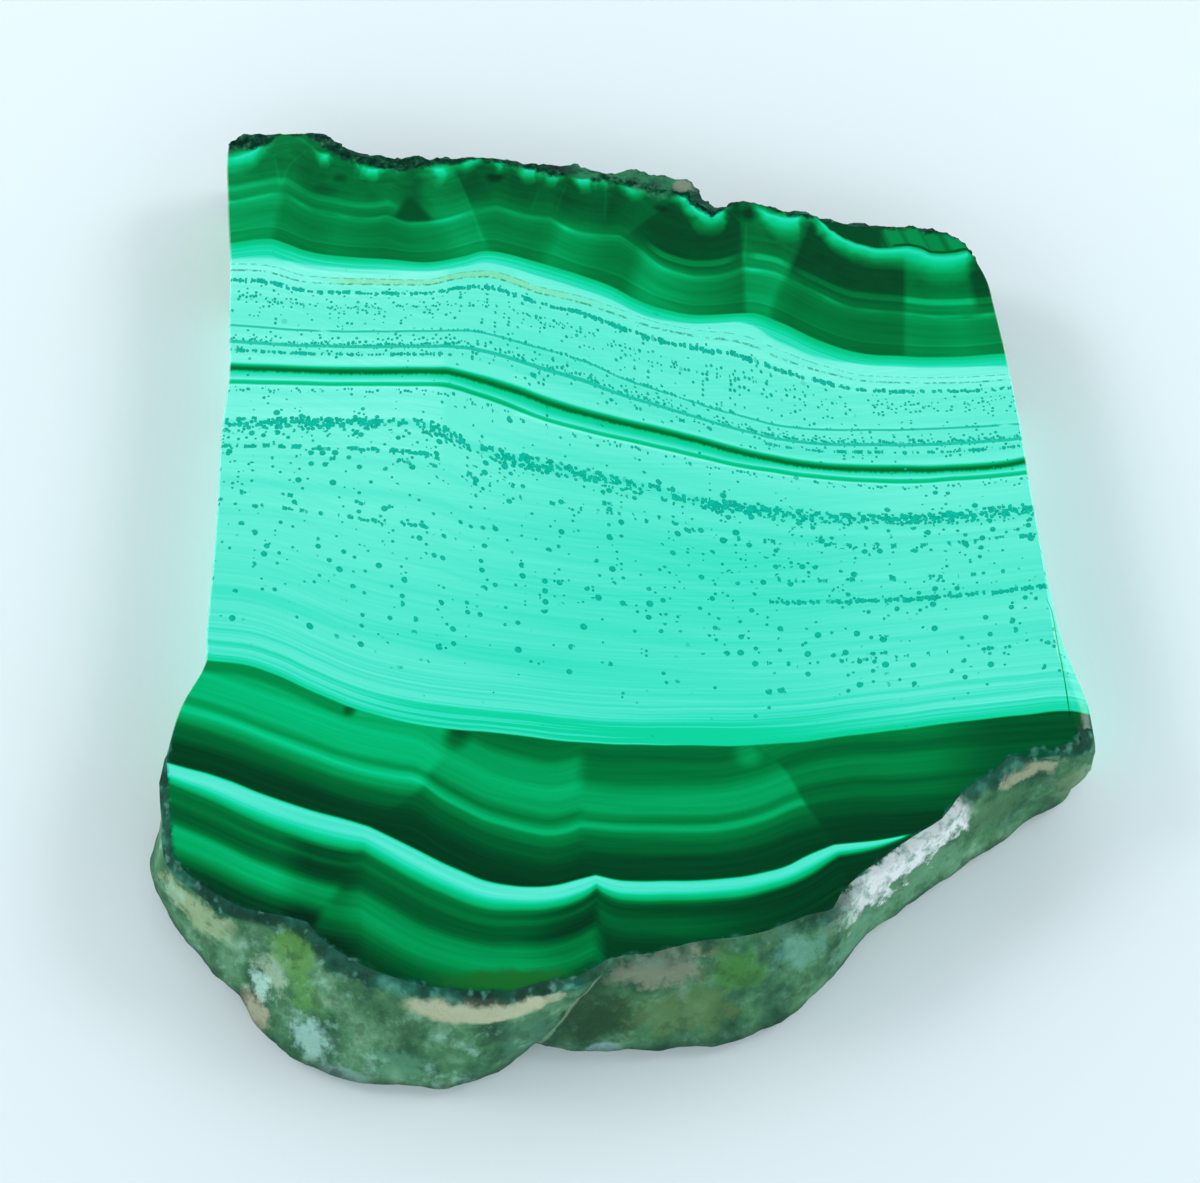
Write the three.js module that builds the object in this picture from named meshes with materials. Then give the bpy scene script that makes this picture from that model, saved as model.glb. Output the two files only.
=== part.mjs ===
// A slab of banded malachite, sawn from one lump and polished on top.
// Millimetres, +Z up. The polished face is on top and the sawn underside lies on z = 0.
// +Y points to the broken back edge and -Y to the lobed natural rind.
import * as THREE from "three";

const { lerp, smoothstep } = THREE.MathUtils;

// Driving dimensions
const slabThickness = 11;
const stepAround = 1.7; // longest facet along the edge
const sawnFlare = 0.3; // how far a sawn side leans out towards its foot
const sawnArris = 0.25; // width of the fine bevel along the sawn and broken edges
const rindBevel = 1; // width of the ground bevel between the face and the rind
const bevelDrop = 0.5; // height of both bevels
const footHeight = 1.2; // the foot of the wall is the widest line of the rind
const footRound = 0.6; // how far the lowest edge of the rind curls in below its foot
const matrixDepth = 1.8; // how far below the face the broken matrix stands out fully
const cornerLedge = [3.6, 4.4]; // heights of the step under the bulge of the front right corner
const malachiteGreen = 0x2aa876;
const polishRoughness = 0.22;

// Heights of the rings that make the edge, from the polished face down to the underside
const ringHeights = [11, 10.85, 10.5, 9.9, 9.1, 8.2, 7, 5.6, 4.4, 3.6, 2.4, 1.2, 0.5, 0];

// Left side, from the back corner forwards: x and y of the polished edge
const leftSide = [
  [-51.9, 61.2],
  [-51.3, 51.5],
  [-50.1, 41],
  [-49.5, 32],
  [-48.8, 24.3],
  [-49, 15.5],
  [-48.6, 5.5],
  [-48.4, -3],
  [-48.3, -13],
  [-48.1, -16.2],
  [-50.4, -21.9],
  [-51.5, -28.2],
];

// Lobed rind along the front, from left to right: x and y of the polished edge, then of the foot,
// and how far the wall bulges between them. The polished edge has notches at x = -34.8 and
// x = -2, and each one runs down and to the left.
const rind = [
  [-51.9, -31.2, -52.6, -31.6],
  [-51.4, -34.4, -53.2, -34.6],
  [-51, -37.3, -54, -37.2],
  [-50.3, -40.6, -53.6, -39.4],
  [-48, -43.4, -51.8, -42.6],
  [-44, -46, -49.1, -46],
  [-41.5, -47.2, -46.8, -48.8],
  [-38, -47.9, -44.6, -51.1],
  [-36.2, -48.3, -43.4, -52.2],
  [-34.8, -48.7, -42.6, -53],
  [-33.8, -49.9, -41.4, -55.3],
  [-32.4, -51.2, -39.6, -57.2],
  [-30.2, -52.7, -37, -59.2],
  [-27, -54.2, -33, -61],
  [-22.6, -55.7, -28.4, -62.4],
  [-17.4, -56.5, -23, -63],
  [-13, -56.5, -18, -62.7],
  [-8.5, -55.5, -14, -61.3],
  [-5, -54.8, -11.6, -59.7],
  [-3.3, -53.9, -10.6, -58.5],
  [-2, -53, -10, -57.9],
  [-0.2, -52.5, -8, -58.4],
  [2.8, -52.3, -3.4, -58.7],
  [7, -51.1, 2.6, -58.8],
  [11.4, -50.5, 8, -58.3],
  [15.4, -49.7, 14, -56.7],
  [19.4, -48, 18.8, -54.2],
  [22.6, -47, 22.2, -51.3],
  [23.8, -45.1, 24.6, -48.6],
  [28.4, -41.2, 29, -43.8],
  [32.7, -38.1, 34.6, -39.6],
  [35.2, -36.5, 37.6, -37.5],
  [38.4, -32.8, 40.6, -35.2],
  [41.2, -31, 43.9, -33.3],
  [42.8, -29.4, 46.6, -31.6],
  [45.3, -28.4, 48.4, -30.5],
  [49, -27.7, 50.2, -29.7, 0.7],
  [51.6, -26.8, 51.2, -28.2, 1.1],
];

// Right side, from the front corner back: x and y of the polished edge, its bevel width, and
// the bulge. The bevel widens to a soft ground facet near the front corner.
const rightSide = [
  [52.3, -24.6, 1.9, 0.6],
  [52.3, -22.2, 2.1],
  [51.3, -18, 1.7],
  [50.2, -13.7, 1],
  [49.5, -8, 0.5],
  [49, -1, sawnArris],
  [48.5, 8.4, sawnArris],
  [48.1, 18, sawnArris],
  [47.4, 27.3, sawnArris],
  [46.6, 35, sawnArris],
  [46.2, 38.4, sawnArris],
  [45.2, 41.4, sawnArris],
];

// Broken back edge, from right to left: x and y of the polished edge, then how far the
// matrix below it stands out
const brokenBack = [
  [44.1, 44, 0.2],
  [42.9, 45.4, 0.6],
  [39.6, 46.5, 0.9],
  [35.3, 47.4, 0.3],
  [32, 47.3, 0.9],
  [27.8, 48.1, 0.4],
  [24.4, 49.1, 0.8],
  [20.1, 50.1, 0.6],
  [17, 51.4, 0.2],
  [14.2, 51.1, 0.7],
  [11.7, 50.1, 1.2],
  [9.4, 51.9, 1.4],
  [7.5, 53.5, 3.2],
  [5.6, 53.3, 3.9],
  [2.6, 54.4, 3.4],
  [-0.6, 55.3, 2.6],
  [-3.2, 56, 0.8],
  [-6.2, 56.5, 2.4],
  [-8.8, 56.8, 1.9],
  [-11.4, 57.5, 0.3],
  [-14.6, 58.3, 0.7],
  [-18.4, 58.7, 0.2],
  [-22.5, 58.6, 0.8],
  [-26.8, 58.9, 0.3],
  [-31.9, 59, 0.7],
  [-35.4, 59.6, 0.9],
  [-37.6, 61.2, 0.3],
  [-39.8, 62.8, 0.2],
  [-44, 63, 0.2],
  [-48, 62.8, 0.1],
  [-51, 62.6, 0],
];

// One station of the edge: the polished point, the foot point or the lean that replaces it,
// the bevel width, the bulge of the wall, and whether it is lumpy rind or broken matrix
function station(x, y, { foot, lean = 0, bevel = sawnArris, bulge = 0, lumps = 0, breaks = 0 }) {
  return { face: new THREE.Vector2(x, y), foot, lean, bevel, bulge, lumps, breaks };
}

function edgeStations() {
  const left = leftSide.map(([x, y]) => station(x, y, { lean: sawnFlare }));
  const front = rind.map(([x, y, footX, footY, bulge]) =>
    station(x, y, { foot: new THREE.Vector2(footX, footY), bevel: rindBevel, bulge, lumps: 1 }),
  );
  const right = rightSide.map(([x, y, bevel, bulge]) =>
    station(x, y, { lean: sawnFlare, bevel, bulge }),
  );
  const back = brokenBack.map(([x, y, lean]) => station(x, y, { lean, breaks: 1 }));
  return [...left, ...front, ...right, ...back];
}

// Stations run anticlockwise seen from above, so outwards is to the right of the way along
function outwards(before, after) {
  const along = after.clone().sub(before).normalize();
  return new THREE.Vector2(along.y, -along.x);
}

// Gives a station that leans out a foot of its own
function setFeet(stations) {
  stations.forEach((here, i) => {
    const before = stations.at(i - 1).face;
    const after = stations[(i + 1) % stations.length].face;
    here.foot ??= here.face.clone().addScaledVector(outwards(before, after), here.lean);
  });
  return stations;
}

// Smooth closed curves through the stations, which all turn over at the same station
function closedCurve(stations, pick) {
  return new THREE.CatmullRomCurve3(stations.map(pick), true, "centripetal");
}

// Points round the edge, no further apart than stepAround
function edgeColumns(stations) {
  const count = stations.length;
  const faces = closedCurve(stations, (s) => new THREE.Vector3(s.face.x, s.face.y, 0));
  const feet = closedCurve(stations, (s) => new THREE.Vector3(s.foot.x, s.foot.y, 0));
  const columns = [];
  stations.forEach((here, i) => {
    const next = stations[(i + 1) % count];
    const span = Math.max(here.face.distanceTo(next.face), here.foot.distanceTo(next.foot));
    const steps = Math.max(1, Math.round(span / stepAround));
    for (let step = 0; step < steps; step++) {
      const share = step / steps;
      const at = (i + share) / count;
      columns.push({
        face: faces.getPoint(at),
        foot: feet.getPoint(at),
        bevel: lerp(here.bevel, next.bevel, share),
        bulge: lerp(here.bulge, next.bulge, share),
        lumps: lerp(here.lumps, next.lumps, share),
        breaks: lerp(here.breaks, next.breaks, share),
      });
    }
  });
  return columns;
}

// Low swells of the natural rind, about 9 mm and 5 mm apart
function rindSwell(x, y, z) {
  const broad = Math.sin(x * 0.7 + z * 0.5) * Math.sin(y * 0.6 - z * 0.4);
  const small = Math.sin(x * 1.3 - z * 1.1 + 2) * Math.sin(y * 1.2 + z * 0.9);
  return 0.28 * broad + 0.16 * small;
}

// Ledges and hollows of the broken matrix: flats 2 to 4 mm across that step in and out
function brokenLedge(x, y, z) {
  const ledges = Math.sign(Math.sin(x * 0.9 + z * 0.55)) * 0.22;
  const hollows = Math.sin(x * 1.7 + 1) * Math.sin(z * 1.1 + y * 0.3) * 0.35;
  const grain = Math.sin(x * 3.1 - z * 2.3) * 0.16;
  return ledges + hollows + grain;
}

// Share of the way from the polished edge out to the foot. The rind slopes all the way down,
// and the broken matrix stands out at once and draws back a little towards the foot.
function leanShare(column, fall) {
  const down = Math.max(0, fall - bevelDrop) / (slabThickness - footHeight - bevelDrop);
  const slope = Math.min(down, 1) ** 0.85;
  const ledge = Math.sin((Math.min(fall / matrixDepth, 1) * Math.PI) / 2) * (1 - 0.35 * slope);
  return lerp(slope, ledge, column.breaks);
}

// A point of the edge: column of the ring, unit vector outwards, height above the underside
function edgePoint(column, out, height) {
  const fall = slabThickness - height;
  const bevelled = Math.min(fall / bevelDrop, 1);
  const point = column.face.clone().lerp(column.foot, leanShare(column, fall));
  const fadeIn = Math.min(fall / 3, 1);
  const inset = column.bevel * (1 - Math.sin((bevelled * Math.PI) / 2));
  const curl = Math.max(0, 1 - height / footHeight) * footRound * lerp(0.3, 1, column.lumps);
  const bulge = column.bulge * fadeIn * smoothstep(height, ...cornerLedge);
  const swell = column.lumps * rindSwell(point.x, point.y, height) * fadeIn;
  const ledge = column.breaks * brokenLedge(point.x, point.y, height) * fadeIn;
  const stand = bulge + swell + ledge - curl - inset;
  point.x += out.x * stand;
  point.y += out.y * stand;
  point.z = height;
  return point;
}

// The whole slab: rings of points for the edge, and a flat face above and below
function slabGeometry() {
  const columns = edgeColumns(setFeet(edgeStations()));
  const count = columns.length;
  const outs = columns.map((column, i) =>
    outwards(columns.at(i - 1).face, columns[(i + 1) % count].face),
  );
  const rings = ringHeights.map((height) =>
    columns.map((column, i) => edgePoint(column, outs[i], height)),
  );
  const indices = [];
  for (let ring = 0; ring < rings.length - 1; ring++) {
    for (let i = 0; i < count; i++) {
      const upper = ring * count + i;
      const upperNext = ring * count + ((i + 1) % count);
      const lower = upper + count;
      const lowerNext = upperNext + count;
      indices.push(upper, lower, lowerNext, upper, lowerNext, upperNext);
    }
  }
  const flat = (ring) => ring.map((point) => new THREE.Vector2(point.x, point.y));
  const underside = (rings.length - 1) * count;
  for (const [a, b, c] of THREE.ShapeUtils.triangulateShape(flat(rings[0]), [])) {
    indices.push(a, b, c);
  }
  for (const [a, b, c] of THREE.ShapeUtils.triangulateShape(flat(rings.at(-1)), [])) {
    indices.push(underside + a, underside + c, underside + b);
  }
  const geometry = new THREE.BufferGeometry().setFromPoints(rings.flat());
  geometry.setIndex(indices);
  return geometry;
}

// The middle of the underside is the origin
function centred(geometry) {
  geometry.computeBoundingBox();
  const middle = geometry.boundingBox.getCenter(new THREE.Vector3());
  geometry.translate(-middle.x, -middle.y, 0);
  geometry.computeVertexNormals();
  return geometry;
}

const slab = new THREE.Mesh(
  centred(slabGeometry()),
  new THREE.MeshStandardMaterial({
    color: malachiteGreen,
    roughness: polishRoughness,
    metalness: 0,
    flatShading: true,
  }),
);
slab.name = "malachite_slab";

const tile = new THREE.Group();
tile.add(slab);

export default tile;
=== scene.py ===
# A polished slab of banded malachite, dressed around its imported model.
# Blender works in metres. Places on the stone are in millimetres, seen from above: x to the
# right, y towards the broken back edge, z up from the sawn underside.
import math

import bmesh
import bpy
from bpy.props import FloatProperty, FloatVectorProperty, IntProperty, PointerProperty
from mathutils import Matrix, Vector, noise


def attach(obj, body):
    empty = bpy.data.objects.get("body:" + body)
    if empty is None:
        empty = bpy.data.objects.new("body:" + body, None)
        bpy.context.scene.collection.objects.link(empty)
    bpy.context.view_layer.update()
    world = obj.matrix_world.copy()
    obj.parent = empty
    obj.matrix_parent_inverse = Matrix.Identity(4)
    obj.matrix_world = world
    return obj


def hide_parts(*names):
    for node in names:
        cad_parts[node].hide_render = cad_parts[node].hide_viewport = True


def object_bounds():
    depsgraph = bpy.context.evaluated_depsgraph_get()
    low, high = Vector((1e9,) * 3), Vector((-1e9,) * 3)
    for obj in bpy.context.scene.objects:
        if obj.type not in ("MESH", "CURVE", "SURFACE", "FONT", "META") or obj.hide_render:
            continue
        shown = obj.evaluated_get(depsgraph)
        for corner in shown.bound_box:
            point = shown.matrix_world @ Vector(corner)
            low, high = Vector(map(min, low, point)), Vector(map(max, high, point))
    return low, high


bl_info = {
    "name": "Polished malachite slab",
    "version": (1, 0, 0),
    "blender": (4, 5, 0),
    "location": "3D View > Sidebar > Malachite",
    "description": "Builds a polished slab of banded malachite and a plain pale stage for it",
    "category": "Object",
}

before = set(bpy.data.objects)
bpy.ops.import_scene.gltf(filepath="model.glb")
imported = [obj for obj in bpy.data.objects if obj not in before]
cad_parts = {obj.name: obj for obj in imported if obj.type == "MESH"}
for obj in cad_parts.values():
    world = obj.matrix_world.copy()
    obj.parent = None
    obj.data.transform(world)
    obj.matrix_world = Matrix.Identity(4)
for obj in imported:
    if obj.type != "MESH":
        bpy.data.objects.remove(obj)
cad_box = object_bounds()

MM = 0.001
SLAB_NODE = "malachite_slab"
THICKNESS = cad_box[1].z / MM

# Growth lines of the stone

# Back edge of the light bands, where they meet the dark lobes
LIGHT_BACK = [
    (-50, 44.2), (-45, 44.9), (-42.7, 44.1), (-40, 42.9), (-35, 42), (-30, 41.6), (-25, 41.1),
    (-20, 42), (-17, 42.9), (-15, 42.6), (-10, 40.9), (-5, 39), (-1.3, 37.3), (2.2, 35.1),
    (5, 33.8), (10, 32.7), (16.3, 33), (20, 31.6), (25, 28.7), (30, 26.9), (35, 26.4),
    (40, 26.2), (48, 26.9),
]
# Hairline of the olive layer
OLIVE_LINE = [
    (-49.2, 40.3), (-45, 40.1), (-40, 38.5), (-30, 38), (-25, 37.9), (-20, 39.1), (-17, 39.3),
    (-15, 38.9), (-10, 36.7), (-5, 35.3), (0, 33.2), (5, 31.2), (10, 30), (15, 29.2),
    (20, 26.7), (25, 24.6), (30, 23.1), (40, 22.7), (48, 23.3),
]
# Fine line between the two rows of dots
FINE_LINE = [
    (-48.5, 31.2), (-40, 30.4), (-30, 30.1), (-20, 30.3), (-18.5, 30.2), (-11.6, 28.1),
    (-4.7, 25.7), (0, 23.2), (5, 21), (10, 19), (15, 17.3), (20, 15.8), (30, 15.3), (40, 15.6),
    (48.3, 16.2),
]
# The two dark green lines
DARK_LINE = [
    (-48.3, 24.6), (-40, 24.2), (-30, 24), (-22, 24), (-20, 23.6), (-18, 22.9), (-14, 21.4),
    (-12, 20.6), (-10, 19.7), (-8, 18.9), (-5, 17.9), (0, 16.4), (5, 15), (9, 13.7), (15, 11.8),
    (18, 11), (22, 10.2), (28, 9.6), (35, 9.5), (40, 9.6), (46, 10.2), (48.7, 10.8),
]
TWIN_LINE = [
    (-48.3, 22.5), (-40, 22.2), (-30, 22.1), (-22, 22), (-20, 21.5), (-18, 20.7), (-14, 19.1),
    (-12, 18.1), (-10, 17.2), (-8, 16.4), (-4, 15.2), (0, 14.1), (6, 12.4), (9, 11.5), (15, 9.9),
    (18, 9.4), (22, 8.7), (28, 8.1), (35, 7.9), (40, 8.2), (46, 8.8), (48.7, 9.2),
]
# Densest row of dots
DOT_ROW = [
    (-48.2, 16.4), (-30, 16.4), (-25, 16.2), (-21.7, 15.2), (-18.3, 13.1), (-10, 10.3),
    (-5, 9.1), (0, 7.9), (5, 6.4), (10, 4.8), (15, 4.1), (20, 3.3), (35, 2.8), (40, 3.1),
    (48.7, 4.2),
]
# Front edge of the light bands, which cuts across the front lobes
LIGHT_FRONT = [
    (-47.6, -16.4), (-43, -17), (-40, -18), (-35, -20.4), (-30, -22.6), (-25, -24.1),
    (-20, -25), (-15, -25.6), (-10, -26.2), (-5, -26.8), (0, -27.1), (10, -27.2), (20, -26.8),
    (25, -26.1), (30, -25.4), (40, -24), (45, -23.4), (50, -22.9), (53, -23),
]
# Bright line of the back lobes, with a cusp at each seam
LOBE_LINE = [
    (-50, 50.9), (-45, 52.2), (-43.2, 52.1), (-40, 49.8), (-37.5, 49), (-32.3, 48.1),
    (-30, 48.5), (-26.8, 47.2), (-22.7, 47.8), (-18.7, 49.5), (-16, 50), (-11.6, 48.4),
    (-9, 48.1), (-5.8, 46), (-3.7, 45.4), (0, 45.1), (2.2, 43.2), (5, 40.4), (7, 39.3),
    (10, 38.5), (12.5, 38.7), (15.8, 40.1), (19.9, 39.1), (21, 38.5), (25, 35.9), (29.1, 33.7),
    (31.1, 33.4), (34.8, 33), (40, 32.3), (45, 32.6), (47.2, 32.9),
]
LOBE_LINE_CUSPS = (-45, -43.2, -30, -18.7, -16, -9, 0, 15.8, 21)
# Foot of the dark pocket between two of the seams
POCKET_FOOT = 48.2
# Bright hairline of the front lobes
FRONT_LINE = [
    (-49.9, -22.4), (-45, -24), (-40, -26), (-35, -27.9), (-30, -29.8), (-25, -31), (-23, -31.4),
    (-20, -33.5), (-17.4, -34.9), (-15, -36.1), (-12.4, -37), (-10, -37.6), (-8.1, -37.9),
    (-6.2, -37.6), (-4.5, -37), (0, -37.4), (5, -37.4), (10, -37.3), (15, -36.2), (19.7, -34.2),
    (25, -33.1), (30, -32.8), (40, -31.8), (50, -31),
]
FRONT_LINE_CUSPS = (-4.5,)
# Upper and lower edge of the pale stripe
STRIPE_TOP = [
    (-51.1, -29.1), (-45, -31), (-40, -33), (-35, -34.8), (-30, -36.3), (-27.8, -37),
    (-25, -38.4), (-20, -41.1), (-17.4, -42.3), (-15, -43.3), (-12.4, -43.9), (-10, -44.1),
    (-7.4, -43.9), (-5, -43.3), (-3, -42.7), (0, -43.3), (5, -43.4), (10, -43.2), (15, -42.5),
    (17.5, -41.8), (20, -40.5), (23, -39.2), (27.5, -38.7), (31.6, -37.9),
]
STRIPE_BOTTOM = [
    (-51.6, -31.4), (-45, -34.3), (-40, -36.7), (-35, -38.6), (-30, -39.9), (-28.3, -40),
    (-25, -42.1), (-22.4, -43.7), (-20, -44.9), (-15, -46.7), (-12.4, -47), (-10, -47),
    (-7.4, -46.7), (-5, -45.9), (-3.7, -45.1), (-2.9, -44.3), (-2.1, -44.9), (0, -45.7),
    (5, -45.9), (10, -45.7), (15, -44.9), (20, -42.9), (23.4, -40.6), (27.5, -39.7), (31.6, -38),
]
STRIPE_CUSPS = (-27.8, -28.3, -3, -2.9, 23, 23.4)
# Back rim of the polished face, and how wide the dark matrix crust shows along it
BACK_RIM = [
    (-50.5, 62.3), (-47.5, 62.5), (-43.5, 62.7), (-39.3, 62.5), (-37.1, 60.9), (-34.9, 59.3),
    (-31.4, 58.7), (-26.3, 58.6), (-22, 58.3), (-17.9, 58.4), (-14.1, 58), (-10.9, 57.2),
    (-8.3, 56.5), (-5.7, 56.2), (-2.7, 55.7), (3.1, 54.1), (6.1, 53), (8, 53.2), (9.9, 51.6),
    (12.2, 49.8), (14.7, 50.8), (17.5, 51.1), (20.6, 49.8), (24.9, 48.8), (28.3, 47.8),
    (32.5, 47), (35.8, 47.1), (40.1, 46.2), (43.4, 45.1), (45.7, 41.1),
]
CRUST_WIDTH = [
    (-51.5, 3), (-48, 2.4), (-46, 1.8), (-45, 0.5), (-41.5, 0.4), (-40, 1.4), (-39, 2.5),
    (-37.5, 2.3), (-36, 2), (-34, 1.9), (-32, 1.9), (-30, 2.3), (-27, 1.9), (-25, 1.7), (-24, 1.1),
    (-21.5, 1), (-20, 0.4), (-18, 0.4), (-16.5, 0.8), (-14, 0.8), (-9.5, 1), (-7, 1.2), (-2, 1.1),
    (0, 1.3), (3, 1.6), (6, 1.5), (9, 1.6), (10.5, 1.2), (12.4, 1.1), (14, 0.35), (18, 0.3),
    (22, 0.5), (26, 0.6), (34, 0.5), (45, 0.35),
]
# Seams between the front lobes from left to right, as x over y
FRONT_SEAMS = [
    [(-56, -35), (-49.5, -33.5), (-43, -30), (-37, -27.8), (-32, -22), (-30.7, -21.5), (-28.5, -20),
     (-24, -19.5)],
    [(-54, -2.2), (-52, -2.5), (-42.7, -3.1), (-38, -4.5), (-26, -4.6)],
    [(-50, 25), (-39.3, 23), (-34, 20), (-31.5, 18.8), (-29.5, 17.5), (-27.5, 15.5), (-26, 14.5)],
]
# How far to each side of them the tones change over, in mm
SEAM_SOFTNESS = (0.8, 1, 0.4)
# How far back the bands lean, in mm per mm of depth, and how far they waver, in mm
BAND_LEAN = 0.22
BAND_WOBBLE = 0.35
# Crack beside the front right corner, as x over y
CRACK = [(-23, 50.4), (-19, 50.3), (-14, 50), (-10, 49.8), (-8, 49.2)]

# How the seams of the back lobes lean, in mm of x per mm of y
SEAM_LEAN = [
    (-50, 0.1), (-44, 0.1), (-40, 0), (-29, -0.1), (-25, -0.4), (-21, -0.36), (-16, -0.36),
    (-13, 0.2), (-8, 0.3), (-2, 0.25), (5, 0.2), (12, 0.03), (16, 0), (17, 0.06), (18, 0.13),
    (19, 0.2), (20, 0.26), (21.5, 0.3), (25, 0.3), (30, 0.1), (37, 0.06), (44, -0.1),
]
# How light the stone is between the seams, partly its own tone and partly the painted sheen of
# its fibres, from the foot of the lobes and above their line, over x at the foot
FOOT_TONE_AND_SHEEN = [
    (-52, 1.22), (-45, 1.18), (-44, 1), (-39, 0.96), (-36, 1.04), (-30, 0.93), (-27, 0.95),
    (-22, 1.05), (-19.5, 1.2), (-16.9, 1.16), (-16.1, 1.02), (-12, 0.94), (-10.5, 1), (-9, 1.17),
    (-6, 1.1), (-3, 0.95), (0, 0.92), (2, 1.2), (3.5, 1.25), (6, 1.18), (9, 1.08), (12, 1),
    (15.4, 0.87), (16.1, 1.17), (18.4, 1.2), (19.2, 0.95), (21, 0.87), (24, 0.92), (30, 0.88),
    (34.9, 0.87), (35.5, 1.09), (39, 1.06), (43, 1.14), (47, 1.02),
]
UPPER_TONE_AND_SHEEN = [
    (-52, 1.5), (-45, 1.4), (-44, 1.3), (-41, 1.2), (-36, 1.28), (-29, 1.3), (-24, 1.15),
    (-22.8, 1.1), (-20.2, 1.45), (-16.6, 1.42), (-16, 0.98), (-13.9, 0.97), (-13.3, 1.05),
    (-11.7, 1.05), (-11.1, 0.95), (-7, 1.05), (-4.9, 1), (-4.3, 0.9), (-1, 1.1), (3, 1.05),
    (15.3, 1.05), (15.9, 1.6), (18.6, 1.6), (19.2, 1), (34.9, 1.05), (35.5, 1.6), (40, 1.65),
    (45, 1.65), (46, 1.1),
]
# How strongly the second line above the lobe line stands out
SECOND_LINE = [
    (-50, 20), (-30, 18), (-28, 0), (3, 0), (5, 62), (13.5, 52), (15.2, 18), (16.4, 12),
    (17.6, 42), (20.5, 42), (22, 12), (23.5, 36), (45, 40),
]

# Glow of the back lobes: x, y of its upper edge, strength, and how far down it fades in mm
BACK_GLOW = [
    (-51.5, 58.6, 0.7, 4), (-49, 59.4, 0.9, 4), (-47, 60.4, 0.75, 3), (-45.6, 61, 0, 2),
    (-43, 61.9, 0.1, 2), (-41.8, 61.8, 0.25, 2), (-40.2, 60, 0.1, 2), (-39.3, 59.2, 0.75, 2.6),
    (-38.1, 59, 0.8, 2.6), (-37.1, 58.9, 0, 1.5), (-35.5, 58.4, 0, 1.5), (-34.8, 58, 0.6, 2.2),
    (-33.9, 57.2, 0.55, 2.2), (-33.5, 56.9, 0.35, 2), (-32.8, 56.7, 0.9, 2.6),
    (-31.5, 56.6, 0.85, 2.4), (-30.7, 56.6, 0.1, 1.5), (-28.6, 56.9, 0.35, 2.5),
    (-27.5, 57, 0, 2), (-25.2, 56.8, 0, 2), (-24.2, 56.8, 0.75, 3.4), (-22.7, 56.9, 0.85, 3.6),
    (-21.5, 57.1, 0.2, 2), (-20.8, 57.5, 0.6, 2.2), (-19.4, 58.2, 0.75, 2.6),
    (-18.2, 58.5, 0.6, 2), (-17.2, 58.2, 0.05, 1.5), (-16.4, 57.8, 0.7, 2.4),
    (-15.2, 57.7, 0.75, 2.6), (-14.3, 57.3, 0.05, 1.5), (-13.3, 56.8, 0.4, 2.4),
    (-12, 56.7, 0.9, 3), (-10.9, 56.5, 0.8, 2.6), (-10.4, 56.3, 0.15, 2), (-9.6, 56.1, 0.8, 2.8),
    (-8.2, 55.9, 0.85, 2.8), (-7.2, 55.7, 0, 1.5), (-6.2, 55.1, 0.2, 2), (-5.2, 55, 0.85, 2.8),
    (-3.7, 55, 0.9, 2.8), (-3, 54.9, 0.2, 2), (-2.3, 54.8, 0.7, 2.4), (-1.4, 54.6, 0.6, 2),
    (-0.6, 54.2, 0.05, 1.5), (0.6, 53.6, 0.6, 2.4), (1.9, 53.4, 0.75, 2.8),
    (3.4, 53.9, 0.75, 2.6), (4.2, 53.7, 0.2, 2), (5.5, 53, 0.3, 2), (6.7, 52.7, 0.4, 2.4),
    (7.7, 52.4, 0.7, 3), (8.8, 51.9, 0.95, 3.8), (9.6, 50.6, 1, 4.2), (10.4, 49.8, 1, 4.4),
    (11.5, 49.3, 1, 4.2), (12.7, 49.2, 1, 3.8), (13.6, 49.8, 0.7, 3), (14.5, 50.3, 0, 2),
    (17, 50.6, 0, 2), (17.8, 50.3, 0.5, 3), (19, 49.7, 0.8, 4), (20.4, 48.9, 0.9, 4.5),
    (22, 48.6, 0.95, 4.5), (23.2, 48.8, 0.75, 4), (24.1, 49.2, 0.1, 2.5), (25.2, 48.6, 0.6, 3),
    (26.5, 46.8, 0.95, 3.4), (28, 45.4, 1, 3.4), (29.5, 44.6, 1, 3.4), (31, 43.9, 1, 3.4),
    (33, 43.4, 1, 3.4), (35, 43.5, 0.85, 3.8), (36.5, 43.7, 0.85, 4.4), (38, 43.4, 1, 5),
    (39, 42.8, 1, 5.2), (40.5, 42.4, 1, 5.2), (42, 42.4, 1, 5.2), (43.8, 42.9, 1, 5),
    (44.7, 43, 0.5, 4.5), (45.3, 42, 0, 4),
]

# Columns of agate behind the glow: where they start and end as x, up to where they are dark, and
# their usual width in mm
AGATE = (25.6, 44.6)
AGATE_DARK_TO = 34.2
AGATE_WIDTH = 2.4

# Half size of a spot that runs straight down through the stone
THROUGH = 99
# Soft spots in the lobes at the back and at the front: x, y, half sizes in mm, and how many tones
# darker they are, or lighter where that is below 0
LOBE_SPOTS = [
    (-38.4, 52.8, 2.2, 1.3, 22), (-36.4, 55, 1, 0.8, 26), (-25.7, 54.4, 1.1, 0.9, 20),
    (-16.3, 55, 1.4, 0.9, 34), (5.3, 50, 1.1, 0.8, 26), (16.6, 49.1, 1.1, 1.5, 52),
]
FRONT_SPOTS = [
    (-30.7, -22.7, 0.9, 0.9, 60), (-18.6, -26.2, 1.8, 1.8, 50), (14, -28.2, 2, 2, -42),
]
# Moss green in the front lobes, and tan in the crust at the back: middle and half sizes
MOSS_PATCH = ((-11.5, -54.6), (8, 1.3))
TAN_PATCH = ((8, 53.7), (1.2, 1.1))
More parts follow.
